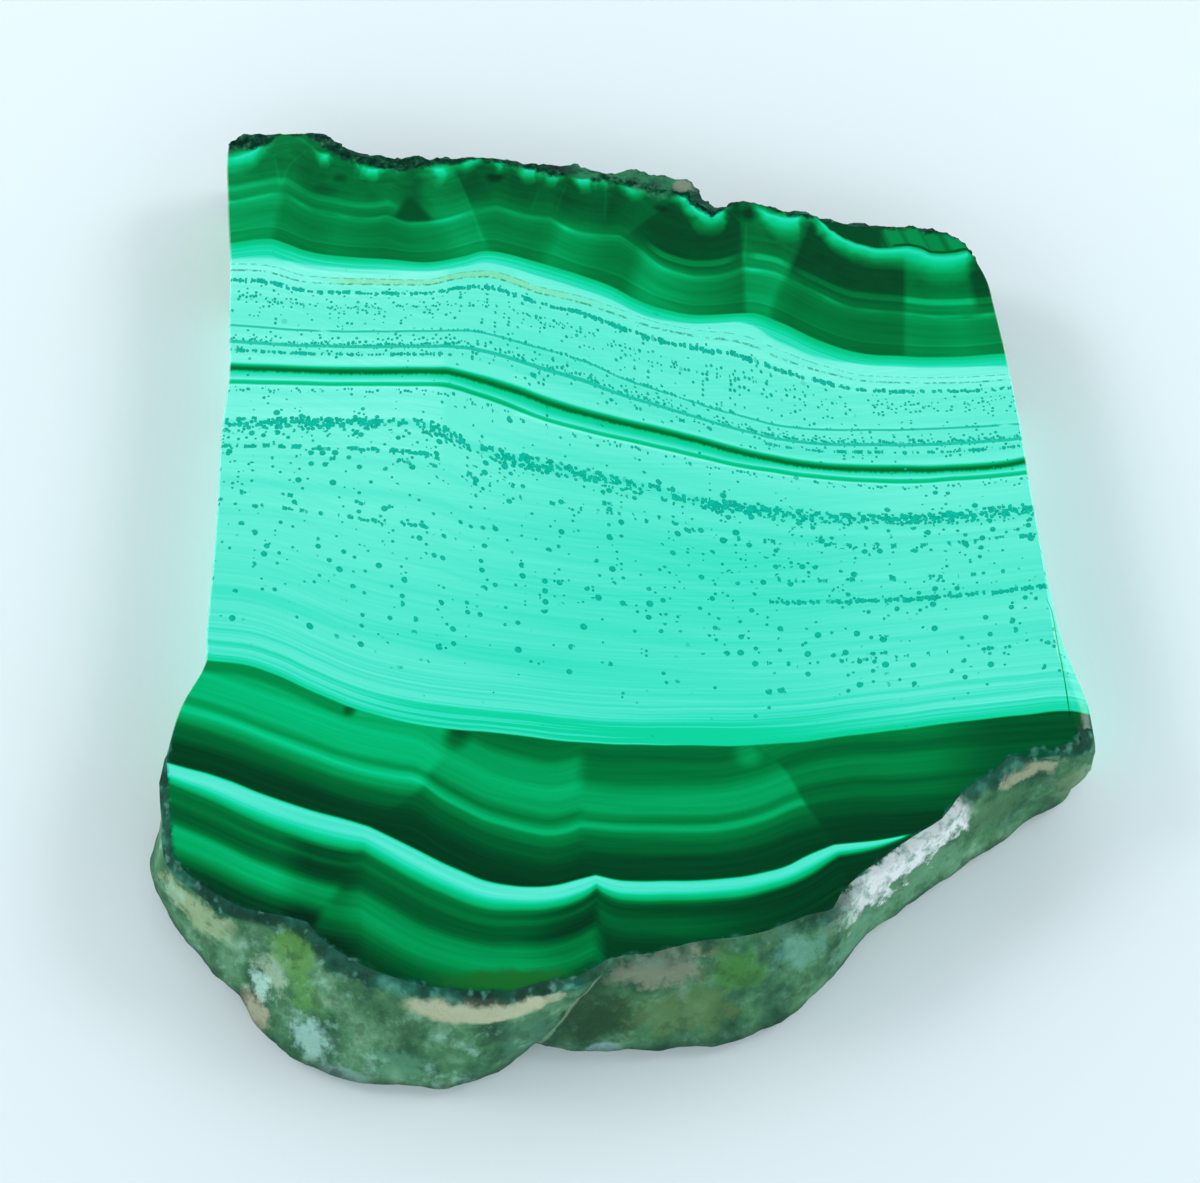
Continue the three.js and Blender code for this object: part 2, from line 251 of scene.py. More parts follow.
# Pale threads along the seams of the back lobes, as x over y
LOBE_THREADS = [
    [(53.8, -44.2), (56.3, -44.7), (58.9, -45.3)],
    [(54.1, -43.9), (57.2, -43.1), (59.6, -41.2)],
    [(44.2, -17.4), (49.8, -19.2), (55.1, -21.1)],
    [(49.8, -11.3), (51.1, -10.9), (53, -10.4)],
    [(49.1, -8.2), (51.6, -7.6), (53.8, -6.9)],
    [(47.8, -1.9), (50.5, -1.8), (53.4, -1.7)],
    [(40.9, 15.8), (44.2, 16.1), (47.5, 16.3)],
    [(47.1, 15.9), (48.2, 15.2), (49.4, 14.3)],
]

# Tones, as the green value that the eye sees, from 0 to 255

# From the front edge of the light bands, at -22, to their back edge, at 42
LIGHT_TONES = [
    (-22, 202), (-21.6, 214), (-20.8, 223), (-19, 228), (-15, 231), (-5, 231), (5, 231),
    (14, 235), (15.6, 234), (16.4, 230), (17.2, 236), (21.5, 237), (22, 246), (23, 246),
    (25.5, 237), (27, 233), (30, 235), (35, 236), (37.2, 241), (42, 243),
]
# Between the two dark green lines, on the same scale
STRIP_TONES = [
    (21.9, 255), (22.1, 242), (22.5, 236), (22.9, 228), (23.2, 218), (23.5, 210), (23.8, 203),
    (24.1, 194), (24.3, 190), (24.45, 255),
]
# Across the lower one and the upper one, in mm upwards from their middle
TWIN_TONES = [
    (-0.42, 255), (-0.26, 230), (-0.12, 192), (0, 190), (0.18, 200), (0.34, 214), (0.5, 238),
    (0.7, 255),
]
DARK_TONES = [
    (-0.6, 255), (-0.45, 202), (-0.32, 172), (-0.2, 122), (-0.05, 102), (0.1, 108), (0.2, 120),
    (0.4, 150), (0.6, 192), (0.8, 226), (1, 240), (1.2, 255),
]
# How wide the upper one is along the slab, as a share of its usual width
DARK_WIDTH = [
    (-48, 1), (-24, 1), (-15, 1.2), (-9, 1.2), (0, 1.05), (12, 1.05), (22, 0.95), (48, 0.9),
]
# Downwards from the back edge of the light bands, at 0, to the pale bands, at 1
BACK_EDGE_TONES = [
    (0, 178), (0.1, 193), (0.3, 203), (0.5, 214), (0.7, 216), (0.95, 219), (1.02, 228),
    (1.12, 240), (1.3, 244), (1.6, 255),
]
# Width of that dark edge in mm
BACK_EDGE_WIDTH = [
    (-50, 2.6), (-45, 3), (-40, 2.1), (-30, 1.7), (-25, 1.4), (-20, 1.7), (-16, 1.9), (-5, 2.1),
    (2, 2), (8, 1.4), (14, 1.3), (20, 3), (25, 2.5), (30, 1.6), (40, 1.5), (48, 1.9),
]
# From the back edge of the light bands, at 0, to the bright line of the lobes, at 1
LOBE_FOOT_TONES = [
    (0, 118), (0.12, 122), (0.24, 119), (0.27, 140), (0.31, 129), (0.42, 130), (0.5, 126),
    (0.62, 122), (0.75, 126), (0.88, 132), (0.95, 146), (1, 166),
]
# Upwards from the bright line of the lobes, in mm
LOBE_TONES = [
    (0, 166), (0.2, 158), (0.5, 118), (1.2, 112), (2, 100), (3.2, 88), (4.2, 84), (6, 82),
    (8, 84), (12, 88),
]
# The glow where it is strongest, the dark pocket, and the dark end of the agate and the line under it
GLOW_TONE, POCKET_TONE, DARK_AGATE_TONE, AGATE_LINE_TONE = 218, 70, 72, 82
# Downwards from the upper edge of the glow, as a share of how far it fades
GLOW_FADE = [
    (-0.14, 0), (-0.02, 0.5), (0.1, 1), (0.18, 1), (0.29, 0.87), (0.4, 0.76), (0.51, 0.56),
    (0.62, 0.4), (0.73, 0.27), (0.85, 0.15), (1, 0),
]
# Upwards from the bright hairline of the front lobes, in mm, for each lobe from left to right
FRONT_TONES = [
    [(-7, 60), (-4.5, 64), (-4, 76), (-3.4, 96), (-2.4, 100), (-1.9, 120), (-1.4, 148), (-1, 155),
     (-0.5, 180), (0, 204), (0.5, 182), (1, 147), (1.4, 152), (2, 182), (3.5, 184), (5, 189),
     (5.6, 174), (6.3, 168), (7, 170), (9, 176)],
    [(-6.5, 57), (-4.4, 64), (-3.4, 78), (-2.9, 90), (-1.9, 92), (-1.4, 112), (-0.9, 122),
     (-0.4, 134), (0, 182), (0.35, 172), (0.7, 155), (1.2, 128), (1.6, 114), (2.1, 140), (2.7, 158),
     (3.5, 163), (4.5, 170), (5.1, 176), (5.7, 165), (6.2, 156), (8.1, 154), (8.6, 132), (9.2, 114),
     (10.6, 106)],
    [(-6, 64), (-3.6, 67), (-3, 80), (-2.5, 95), (-1.5, 102), (-1, 118), (-0.5, 132), (0, 175),
     (0.4, 164), (0.9, 125), (1.4, 132), (1.9, 160), (4, 162), (4.5, 151), (5, 141), (5.5, 125),
     (6, 116), (7.9, 112), (8.5, 101), (9.4, 103), (10, 112)],
    [(-6, 60), (-3, 62), (-2.4, 78), (-1.5, 83), (-0.8, 92), (-0.3, 108), (0.2, 110), (0.8, 100),
     (1.3, 96), (1.8, 108), (2.3, 126), (3.5, 130), (4.3, 130), (4.8, 108), (5.3, 98), (6, 100),
     (6.5, 115), (7.2, 124)],
]
# Across the pale stripe, from its lower edge at 0 to its upper edge at 1
STRIPE_TONES = [
    (0, 118), (0.1, 168), (0.18, 186), (0.27, 200), (0.38, 219), (0.5, 229), (0.6, 232),
    (0.88, 232), (0.95, 222), (1, 190),
]
# Downwards from the pale stripe, in mm, for each lobe from left to right
FOOT_TONES = [
    [(0, 125), (0.5, 108), (1.1, 103), (1.6, 122), (2.1, 97), (2.7, 88), (3.5, 95), (4, 118),
     (4.4, 158), (4.9, 178), (6.4, 168), (7, 146), (7.6, 116), (8.2, 88), (8.7, 68), (9.5, 60),
     (11, 60)],
    [(0, 120), (0.5, 102), (0.9, 103), (1.3, 121), (1.8, 104), (2.4, 88), (3.6, 88), (4.4, 112),
     (5, 144), (5.6, 144), (6.2, 147), (7, 157), (7.8, 150), (8.6, 124), (9.4, 104), (10, 90),
     (10.8, 74), (11.5, 66)],
    [(0, 118), (0.3, 89), (0.9, 75), (1.4, 78), (1.9, 88), (2.3, 96), (3.2, 92), (3.8, 82),
     (4.3, 74), (4.9, 62)],
    [(0, 110), (0.3, 78), (0.6, 64), (3, 64)],
]
# Key lines of the light bands from front to back, and their heights on the scale of LIGHT_TONES
KEY_LINES = {
    "front": LIGHT_FRONT, "row": DOT_ROW, "twin": TWIN_LINE, "dark": DARK_LINE,
    "fine": FINE_LINE, "olive": OLIVE_LINE, "back": LIGHT_BACK,
}
LEVELS = {
    "front": -22, "row": 16.4, "twin": 22.3, "dark": 24.3, "fine": 30, "olive": 38, "back": 42,
}
# Levels of the lines that run beside the key lines: below the fine line, and around the olive one
SECOND_FINE_LEVEL = 27.85
OLIVE_LEVELS = {"lower": 37.5, "bed": 37.95, "upper": 38.4}

# How many dots there are, from 0 to 1, over the scale of LIGHT_TONES
FINE_DOTS = [
    (-19, 0), (-12, 0.03), (0, 0.05), (10, 0.08), (14, 0.12), (14.9, 0.2), (15.4, 0.6),
    (17, 0.7), (17.2, 0.15), (19, 0.03), (20.4, 0.06), (22, 0.01), (25.6, 0.04), (26.1, 0.12),
    (27.4, 0.25), (27.8, 1), (28.5, 0.8), (29.1, 0.35), (29.5, 0.1), (31, 0.12), (32.2, 0.2),
    (33.2, 0.42), (34.2, 0.42), (34.8, 0.14), (35.4, 0.2), (36.7, 0.1), (37, 0),
]
COARSE_DOTS = [
    (-18, 0), (-14, 0.14), (-6, 0.26), (0, 0.3), (2.2, 0.3), (9, 0.2), (10.4, 0.42),
    (12.6, 0.42), (13.4, 0.3), (15, 0.55), (17.2, 0.5), (17.8, 0.12), (20, 0.03), (24, 0),
]
# Strings of dots and dashes: level of the row, how far the dots stray from it in mm, their
# radius, and how much of the row they take up on the left, in the middle and on the right.
# A row that they take up nothing of keeps the rows beside it apart.
STRINGS = [
    (-9.3, 0.12, 0.24, 0, 0, 0.5), (-5, 0, 0.1, 0, 0, 0), (1, 0.16, 0.3, 0, 0.1, 0.85),
    (2.7, 0.16, 0.26, 0.55, 0, 0), (4.8, 0.14, 0.28, 0.4, 0, 0.4), (8, 0, 0.1, 0, 0, 0),
    (11.2, 0.3, 0.32, 0.3, 0.4, 0.5), (12.5, 0.2, 0.34, 0.6, 0.3, 0.1), (14, 0, 0.1, 0, 0, 0),
    (16.5, 0.5, 0.38, 0.95, 0.7, 0.9), (19, 0, 0.1, 0, 0, 0), (21.35, 0.32, 0.18, 0.6, 0.55, 0.5),
    (24, 0, 0.1, 0, 0, 0), (26.75, 0.06, 0.24, 0.8, 0.35, 0.6), (28.15, 0.2, 0.2, 0.8, 0.5, 0.8),
    (30.05, 0.08, 0.19, 0.1, 0.75, 0.45), (33.8, 0.32, 0.16, 0.6, 0.5, 0.4),
    (36.1, 0.12, 0.3, 0.85, 0.95, 0.7),
]
# Where the middle of the slab starts and ends for the strings, and over how many mm it changes
STRING_MIDDLE = (-20, 14)
STRING_CHANGE = 4
# Distance between the dots of a string, and the usual length of a string, in mm
STRING_STEP = 0.42
STRING_LENGTH = 1.8
# Usual distance between single dots, and their smallest and largest radius, in mm
FINE_STEP, FINE_RADIUS = 0.56, (0.09, 0.21)
COARSE_STEP, COARSE_RADIUS = 1.5, (0.17, 0.42)


class Field:
    """A number, place or colour on its way through a material, so that patterns read as formulas."""

    def __init__(self, tree, socket):
        self.tree = tree
        self.socket = socket

    def math(self, operation, *others, kind="ShaderNodeMath", output=0):
        node = self.tree.nodes.new(kind)
        node.operation = operation
        for socket, value in zip(node.inputs, (self, *others)):
            feed(socket, value)
        return Field(self.tree, node.outputs[output])

    def vector_math(self, operation, *others, output="Vector"):
        return self.math(operation, *others, kind="ShaderNodeVectorMath", output=output)

    def parts(self):
        """The three numbers that a place or a colour is made of."""
        node = self.tree.nodes.new("ShaderNodeSeparateXYZ")
        feed(node.inputs[0], self)
        return [Field(self.tree, output) for output in node.outputs]

    def __add__(self, other):
        return self.math("ADD", other)

    def __sub__(self, other):
        return self.math("SUBTRACT", other)

    def __rsub__(self, other):
        """A plain number less this field: the field times minus 1, and the number added."""
        return self.math("MULTIPLY_ADD", -1, other)

    def __mul__(self, other):
        return self.math("MULTIPLY", other)

    def __truediv__(self, other):
        return self.math("DIVIDE", other)

    __radd__ = __add__

    def size(self):
        return self.math("ABSOLUTE")

    def at_least(self, other):
        return self.math("MAXIMUM", other)

    def at_most(self, other):
        return self.math("MINIMUM", other)

    def above(self, level, soft=0.1):
        """1 where the field is above the level, 0 below it."""
        return self.rise(level - soft, level + soft)

    def below(self, level, soft=0.1):
        return self.rise(level + soft, level - soft)

    def rise(self, start, end):
        """Goes smoothly from 0 at start to 1 at end, whichever is the larger."""
        node = self.tree.nodes.new("ShaderNodeMapRange")
        node.interpolation_type = "SMOOTHSTEP"
        feed(node.inputs["Value"], self)
        feed(node.inputs["From Min"], start)
        feed(node.inputs["From Max"], end)
        return Field(self.tree, node.outputs["Result"])

    def between(self, low, high, soft=0.1):
        return self.above(low, soft) * self.below(high, soft)

    def line(self, half_width, soft=0.1):
        """1 on a line of the given half width around 0."""
        return self.size().rise(half_width + soft, half_width)

    def mixed(self, other, share, data_type, first, output):
        """A mix node, which has its inputs and its output at other numbers for each type of data."""
        node = self.tree.nodes.new("ShaderNodeMix")
        node.data_type = data_type
        for number, value in ((0, share), (first, self), (first + 1, other)):
            feed(node.inputs[number], value)
        return Field(self.tree, node.outputs[output])

    def towards(self, other, share):
        """The field changed to the other one where share is 1."""
        return self.mixed(other, share, "FLOAT", first=2, output=0)

    def tinted(self, colour, share):
        """The colour field changed to a colour, either a field or as seen, where share is 1."""
        colour = colour if isinstance(colour, Field) else seen(*colour)
        return self.mixed(colour, share, "RGBA", first=6, output=2)

    def follow(self, points, cusps=(), straight=False):
        """The height of a curve through the points, over this field."""
        node = self.tree.nodes.new("ShaderNodeFloatCurve")
        node.mapping.use_clip = False
        node.mapping.extend = "HORIZONTAL"
        curve = node.mapping.curves[0]
        curve.points[0].location = points[0]
        curve.points[1].location = points[-1]
        for x, y in points[1:-1]:
            curve.points.new(x, y)
        for point in curve.points:
            sharp = straight or any(abs(point.location[0] - cusp) < 0.01 for cusp in cusps)
            point.handle_type = "VECTOR" if sharp else "AUTO_CLAMPED"
        node.mapping.update()
        feed(node.inputs["Value"], self)
        return Field(self.tree, node.outputs[0])

    def tone(self, points):
        return self.follow(points, straight=True)

    def nearest(self, places, values, gap=None):
        """The value of whichever place is nearest, with the gap value between two places."""
        pairs = list(zip(places, values))
        points = pairs[:1]
        for (place_before, before), (place_after, after) in zip(pairs, pairs[1:]):
            steps = [(-0.05, before), (0.05, after)]
            if gap is not None:
                steps = [(-0.3, before), (-0.1, gap), (0.1, gap), (0.3, after)]
            middle = (place_before + place_after) / 2
            points += [(middle + step, value) for step, value in steps]
        return self.tone(points + pairs[-1:])

    def coloured(self, stops):
        """A colour ramp over this field. The stops run from 0 to 1, each with a colour as seen."""
        node = self.tree.nodes.new("ShaderNodeValToRGB")
        elements = node.color_ramp.elements
        elements[0].position = stops[0][0]
        elements[1].position = stops[-1][0]
        for position, _ in stops[1:-1]:
            elements.new(position)
        for element, (_, colour) in zip(elements, stops):
            element.color = seen(*colour)
        feed(node.inputs[0], self)
        return Field(self.tree, node.outputs[0])


def feed(socket, value):
    """Links a field to a socket, or sets a plain value on it."""
    if isinstance(value, Field):
        value.tree.links.new(value.socket, socket)
    else:
        socket.default_value = value


def place(tree):
    """Position on the stone in mm, as a vector field and as its x, y and z."""
    coordinates = tree.nodes.new("ShaderNodeTexCoord")
    where = Field(tree, coordinates.outputs["Object"]).vector_math("MULTIPLY", (1 / MM,) * 3)
    return where, *where.parts()


def vector(*parts):
    """A vector field of up to three parts, with 0 for the ones that are left out."""
    tree = parts[0].tree
    node = tree.nodes.new("ShaderNodeCombineXYZ")
    for socket, value in zip(node.inputs, parts):
        feed(socket, value)
    return Field(tree, node.outputs[0])


def cloud(where, size, detail, roughness=0.5, dimensions="3D"):
    """Noise from 0 to 1 around 0.5, with features of the given size in mm."""
    node = where.tree.nodes.new("ShaderNodeTexNoise")
    node.noise_dimensions = dimensions
    feed(node.inputs["Vector"], where)
    node.inputs["Scale"].default_value = 1 / size
    node.inputs["Detail"].default_value = detail
    node.inputs["Roughness"].default_value = roughness
    return Field(where.tree, node.outputs[0])


def streaks(x, across, length, width, detail):
    """Noise drawn out along the bands: length along x and width across, in mm."""
    return cloud(vector(x * (1 / length), across * (1 / width)), 1, detail, dimensions="2D")


def streaky(x, across, length, width, detail, strength):
    """Streaks along the bands, from minus half to plus half of the strength."""
    return (streaks(x, across, length, width, detail) - 0.5) * strength


def cells(where, size, dimensions, randomness=1.0):
    """Voronoi cells of the given size in mm: distance, three random numbers, and the middle."""
    node = where.tree.nodes.new("ShaderNodeTexVoronoi")
    node.voronoi_dimensions = dimensions
    feed(node.inputs["W" if dimensions == "1D" else "Vector"], where)
    node.inputs["Scale"].default_value = 1 / size
    node.inputs["Randomness"].default_value = randomness

    def output(name):
        return Field(where.tree, node.outputs[name])

    middle = [output("W")] if dimensions == "1D" else output("Position").parts()
    return output("Distance"), output("Color").parts(), middle


def distance(where, middle, half):
    """Distance from the middle of an oval with these half sizes: 1 at its border."""
    away = where.vector_math("SUBTRACT", middle).vector_math("DIVIDE", half)
    return away.vector_math("LENGTH", output="Value")


def seen(red, green, blue):
    """A colour as the eye sees it, from 0 to 255, as the linear colour that shaders use."""
    def linear(value):
        share = value / 255
        return share / 12.92 if share <= 0.04045 else ((share + 0.055) / 1.055) ** 2.4
    return (linear(red), linear(green), linear(blue), 1.0)


# Colours are red, green and blue as the eye sees them, from 0 to 255.
# The greens of malachite from darkest to palest. Each one stands for the tone of its green value.
GREENS = [
    (3, 45, 25), (4, 58, 31), (1, 75, 38), (1, 95, 47), (1, 120, 58), (1, 140, 73), (2, 160, 90),
    (3, 180, 108), (5, 200, 134), (16, 215, 162), (54, 225, 191), (86, 232, 204), (110, 240, 214),
    (140, 250, 228),
]
# Colours over a cloud of noise, for the dark crust, the worn rim, the rind, its chalk, the matrix
CRUST_COLOURS = [
    (0.38, (2, 38, 28)), (0.5, (8, 60, 42)), (0.6, (26, 84, 56)), (0.68, (62, 110, 76)),
    (0.78, (112, 142, 104)),
]
RIM_COLOURS = [(0.3, (3, 46, 36)), (0.45, (6, 62, 48)), (0.58, (20, 88, 72)), (0.72, (70, 140, 122))]
RIND_COLOURS = [
    (0.3, (30, 72, 52)), (0.42, (46, 94, 66)), (0.52, (66, 116, 80)), (0.62, (90, 138, 104)),
    (0.74, (126, 166, 138)),
]
CHALK_COLOURS = [(0.32, (124, 160, 150)), (0.54, (218, 222, 224))]
MATRIX_COLOURS = [
    (0.36, (2, 38, 30)), (0.5, (6, 58, 46)), (0.6, (20, 82, 60)), (0.7, (52, 106, 76)),
    (0.82, (110, 142, 110)),
]
# Colours of a dot, from its edge to its pale middle
DOT_COLOURS = [(0, (0, 154, 128)), (1, (8, 192, 162))]


def light_level(y, lines):
    """The scale of LIGHT_TONES at this point: it runs evenly from each key line to the next."""
    names = list(LEVELS)
    level = LEVELS["front"]
    for lower, upper in zip(names, names[1:]):
        share = (y - lines[lower]) / (lines[upper] - lines[lower])
        level = share.at_most(1).at_least(0) * (LEVELS[upper] - LEVELS[lower]) + level
    return level


def round_dot(across, along, radius, there):
    """A dot around 0, 0, and its paler middle."""
    depth = radius - (across * across + along * along).math("SQRT")
    return depth.rise(-0.05, 0.05) * there, depth.rise(0.03, 0.17) * there


def dots(x, level, squash, amount, step, radii, grain, growth):
    """Round inclusions: the amount of them, from 0 to 1, goes by the level in the bands."""
    chances, middle = cells(vector(x, level), step, "2D")[1:]
    there = (middle[1].tone(amount) * grain - chances[0]).above(0, 0.01)
    radius = (chances[1] * (radii[1] - radii[0]) + radii[0]) * growth
    return *round_dot(x - middle[0], (level - middle[1]) * squash, radius, there), chances[2]


def strings(x, level, squash, grain):
    """Rows of dots that touch here and there."""
    rows, stray, radii, *shares = zip(*STRINGS)
    row = level.nearest(rows, rows)
    left, middle, right = (level.nearest(rows, share) for share in shares)
    start, end = STRING_MIDDLE
    share = left.towards(middle, x.rise(start - STRING_CHANGE, start))
    share = share.towards(right, x.rise(end, end + STRING_CHANGE))
    # Every row takes its dots from another part of the same pattern
    along = x + row * 7.7
    chances, spot = cells(along, STRING_STEP, "1D")[1:]
    run = cloud(vector(along), STRING_LENGTH, 1, 0.5, "2D")
    there = (run - 0.82 + share * 0.6 + (grain - 1) * 0.08).above(0, 0.01)
    there = there * chances[2].above(0.1, 0.01)
    off_row = level - row - (chances[0] - 0.5) * level.nearest(rows, stray) * 2
    radius = level.nearest(rows, radii, gap=-0.3) * (chances[1] * 0.7 + 0.6)
    return round_dot(along - spot[0], off_row * squash, radius, there)


def light_bands(x, y, level, lines):
    """Tone of the light bands, with the darker lines along their edges and through them."""
    tone = level.tone(LIGHT_TONES) + streaky(x, level, 60, 0.9, 2, 10)
    tone = tone + streaky(x, level, 45, 5, 1, 9)
    # A little darker in the middle of the slab, and lighter towards its left and right
    middle = (x - 2).size().rise(34, 8) * level.between(-18, 20, 6)
    tone = tone - middle * 2 + x.rise(-6, -30) * level.rise(-16, 6) * 6 + x.rise(20, 34) * 2

    # Fine lines along the front edge, and a richer green with pale threads right beside it
    above_front = y - lines["front"]
    fine = streaks(x, above_front, 90, 0.36, 2)
    tone = tone + (fine - 0.5) * (above_front.rise(9, 0.6) * 34 + 8)
    rich = above_front.rise(3.4, 2.2) * x.rise(-32, -20) * x.rise(34, 10)
    pale_threads = (fine - 0.56).rise(0, 0.06)
    tone = tone.towards(212 + pale_threads * 12, rich)

    # Dark back edge, and the two dark lines with the strip between them
    below_back = lines["back"] - y
    edge = (below_back / x.follow(BACK_EDGE_WIDTH)).tone(BACK_EDGE_TONES)
    edge = edge + streaky(x, below_back, 50, 0.34, 1, 24)
    twin = (y - lines["twin"]).tone(TWIN_TONES) - x.rise(-24, -21) * x.rise(-10, -14) * 16
    height = y - lines["dark"]
    comb = streaky(x, level, 0.3, 2.5, 1, 0.3) * height.below(-0.1, 0.2)
    dark = ((height + comb) / x.tone(DARK_WIDTH)).tone(DARK_TONES)
    strip = level.tone(STRIP_TONES) + (1 - x.rise(-26, -18) * x.rise(24, 12)) * 12
    for line in (edge, strip, twin, dark):
        tone = tone.at_most(line)
    return tone


def inclusions(x, y, depth, level, lines):
    """Share of dots and fine dark lines in the light bands, and how pale they are."""
    # In front of the densest row, the bands narrow down where the key lines come together
    squash = (lines["row"] - lines["front"]) / (LEVELS["row"] - LEVELS["front"])
    squash = squash.towards(1, level.above(LEVELS["row"], 0.5))
    # Dots come in flocks, and are larger in the densest row
    grain = (cloud(vector(x, level), 5, 2, 0.6, "2D") - 0.5) * 4 + 0.9
    grain = grain.at_least(0.15).towards(1, level.rise(24, 27) * 0.6)
    growth = level.between(15, 17.3) * 0.7 + 1
    # Counted along x and down into the stone, so that the dots are round on the sawn sides too
    along = x + depth
    *fine, shade = dots(along, level, squash, FINE_DOTS, FINE_STEP, FINE_RADIUS, grain, growth)
    *coarse, _ = dots(along, level, squash, COARSE_DOTS, COARSE_STEP, COARSE_RADIUS, grain, 1)
    drawn, pale = (
        small.at_least(large).at_least(strung)
        for small, large, strung in zip(fine, coarse, strings(along, level, squash, grain))
    )

    hair = streaks(x, level, 5, 2, 2)
    fine_line = (y - lines["fine"]).line(0.11) * hair.rise(0.3, 0.42)
    second_line = (level - SECOND_FINE_LEVEL).line(0.17) * hair.rise(0.24, 0.36)
    drawn_line = fine_line.at_least(second_line)
    shade = (shade * 0.5 + pale * 0.6).towards(1, drawn_line)
    return drawn.at_least(drawn_line * 0.9), shade


def olive_layer(x, level):
    """Share of the dark hairs of the olive layer, and of its pale bed."""
    lower, bed, upper = (level - height for height in OLIVE_LEVELS.values())
    hair = upper.line(0.04, 0.12) * 0.6 + lower.line(0.06, 0.14)
    hair = hair * streaks(x, level, 1.5, 3, 2).rise(0.25, 0.5)
    return hair, bed.line(0.4, 0.25) * x.rise(-39, -33) * x.rise(3, -14)


def from_spot(where, middle, half):
    """Distance from the middle of an oval spot that runs straight down from the polished face."""
    return distance(where, (*middle, THICKNESS), (*half, THROUGH))


def spotted(tone, where, spots, border):
    """The tone with soft spots in it, darker or lighter."""
    for x, y, across, up, darker in spots:
        spot = from_spot(where, (x, y), (across, up)).rise(border, 0.2)
        tone = tone - spot * darker
    return tone


def glow(x, where):
    """Upper edge, strength and reach of the glow, softened and a little uneven along the edge."""
    uneven = x + (cloud(where, 1.8, 1) - 0.5) * 1.6
    left, right = uneven - 0.45, uneven + 0.45
    places, *measures = zip(*BACK_GLOW)
    edge, strength, reach = (
        (left.follow(points) + right.follow(points)) * 0.5
        for points in (list(zip(places, measure)) for measure in measures)
    )
    strength = (strength * 1.25).at_most(1)
    return edge, strength, reach * (strength * 0.4 + 0.65)


def agate_columns(x, y):
    """Tone of the agate behind the glow: columns with a tone each, and a dark end on the left."""
    border, chances, _ = cells(x + y * 0.35, AGATE_WIDTH, "1D", 0.9)
    tone = chances[0] * 64 + 118 - border.rise(0.25, 0.6) * 30
    return tone.towards(DARK_AGATE_TONE, x.rise(AGATE_DARK_TO, AGATE_DARK_TO - 1.2))


def glowing(tone, where, x, y):
    """The tone of the back lobes with their glow, and with the agate behind it on the right."""
    edge, strength, reach = glow(x, where)
    drop = edge - y
    tone = tone + streaky(x, drop, 5, 0.5, 1, 18) * drop.rise(7, 1)
    tone = tone.towards(GLOW_TONE, (drop / reach).tone(GLOW_FADE) * strength)
    behind = drop.below(0) * x.above(AGATE[0], 0.3) * x.below(AGATE[1], 0.2)
    tone = tone.towards(agate_columns(x, y), behind)
    under_agate = (drop + 0.25).line(0.1, 0.22) * x.between(35, 44.4, 0.3)
    return tone.towards(AGATE_LINE_TONE, under_agate)


def back_lobes(where, x, y, lines):
    """Tone of the dark lobes at the back, with their seams and their bright glow."""
    lobe = x.follow(LOBE_LINE, LOBE_LINE_CUSPS)
    foot = (y - lines["back"]) / (lobe - lines["back"])
    above = y - lobe
    second = (above - 2.3).line(0.25, 0.5) * x.tone(SECOND_LINE)
    tone = foot.tone(LOBE_FOOT_TONES).towards(above.tone(LOBE_TONES) + second, above.above(0, 0.08))
    tone = tone + streaky(x, above, 12, 0.7, 2, 20)
    tone = tone + (cloud(where, 2.6, 2, 0.6) - 0.5) * above.rise(1, 4) * 26
    tone = tone + above.line(0.15, 0.3) * (streaks(x, above, 5, 4, 1) - 0.6) * 90

    # The stone between two seams is lighter or darker than its neighbours, and darker to the right
    # of one seam that leans over far: partly its own tone and partly the painted sheen of its fibres
    at_foot = x - (y - lines["back"]) * x.follow(SEAM_LEAN)
    past_leaning = (x - (y - 45) * 1.05).above(0.5, 0.4)
    upper = at_foot.tone(UPPER_TONE_AND_SHEEN) * (1 - past_leaning * 0.2)
    tone = tone * at_foot.tone(FOOT_TONE_AND_SHEEN).towards(upper, above.rise(0.2, 2.4))

    height = y - POCKET_FOOT
    pocket = (x - height * 0.42).rise(-29.7, -28.5) * (x + height * 0.75).rise(-23.6, -24.9)
    pocket = pocket * 0.85 * above.above(0.5, 0.3) * height.rise(4.6, 2.6)
    tone = spotted(tone.towards(POCKET_TONE, pocket), where, LOBE_SPOTS, 1.3)
    for thread in LOBE_THREADS:
        beside = (x - y.follow(thread)).line(0.04, 0.3)
        tone = tone + beside * y.between(thread[0][0], thread[-1][0], 1) * 11
    return glowing(tone, where, x, y)


def by_lobe(x, over, seams, tables):
    """The tones of the four front lobes side by side, changing over at the seams between them."""
    tone, *others = (over.tone(points) for points in tables)
    for seam, soft, following in zip(seams, SEAM_SOFTNESS, others):
        tone = tone.towards(following, (x - seam).above(0, soft))
    return tone


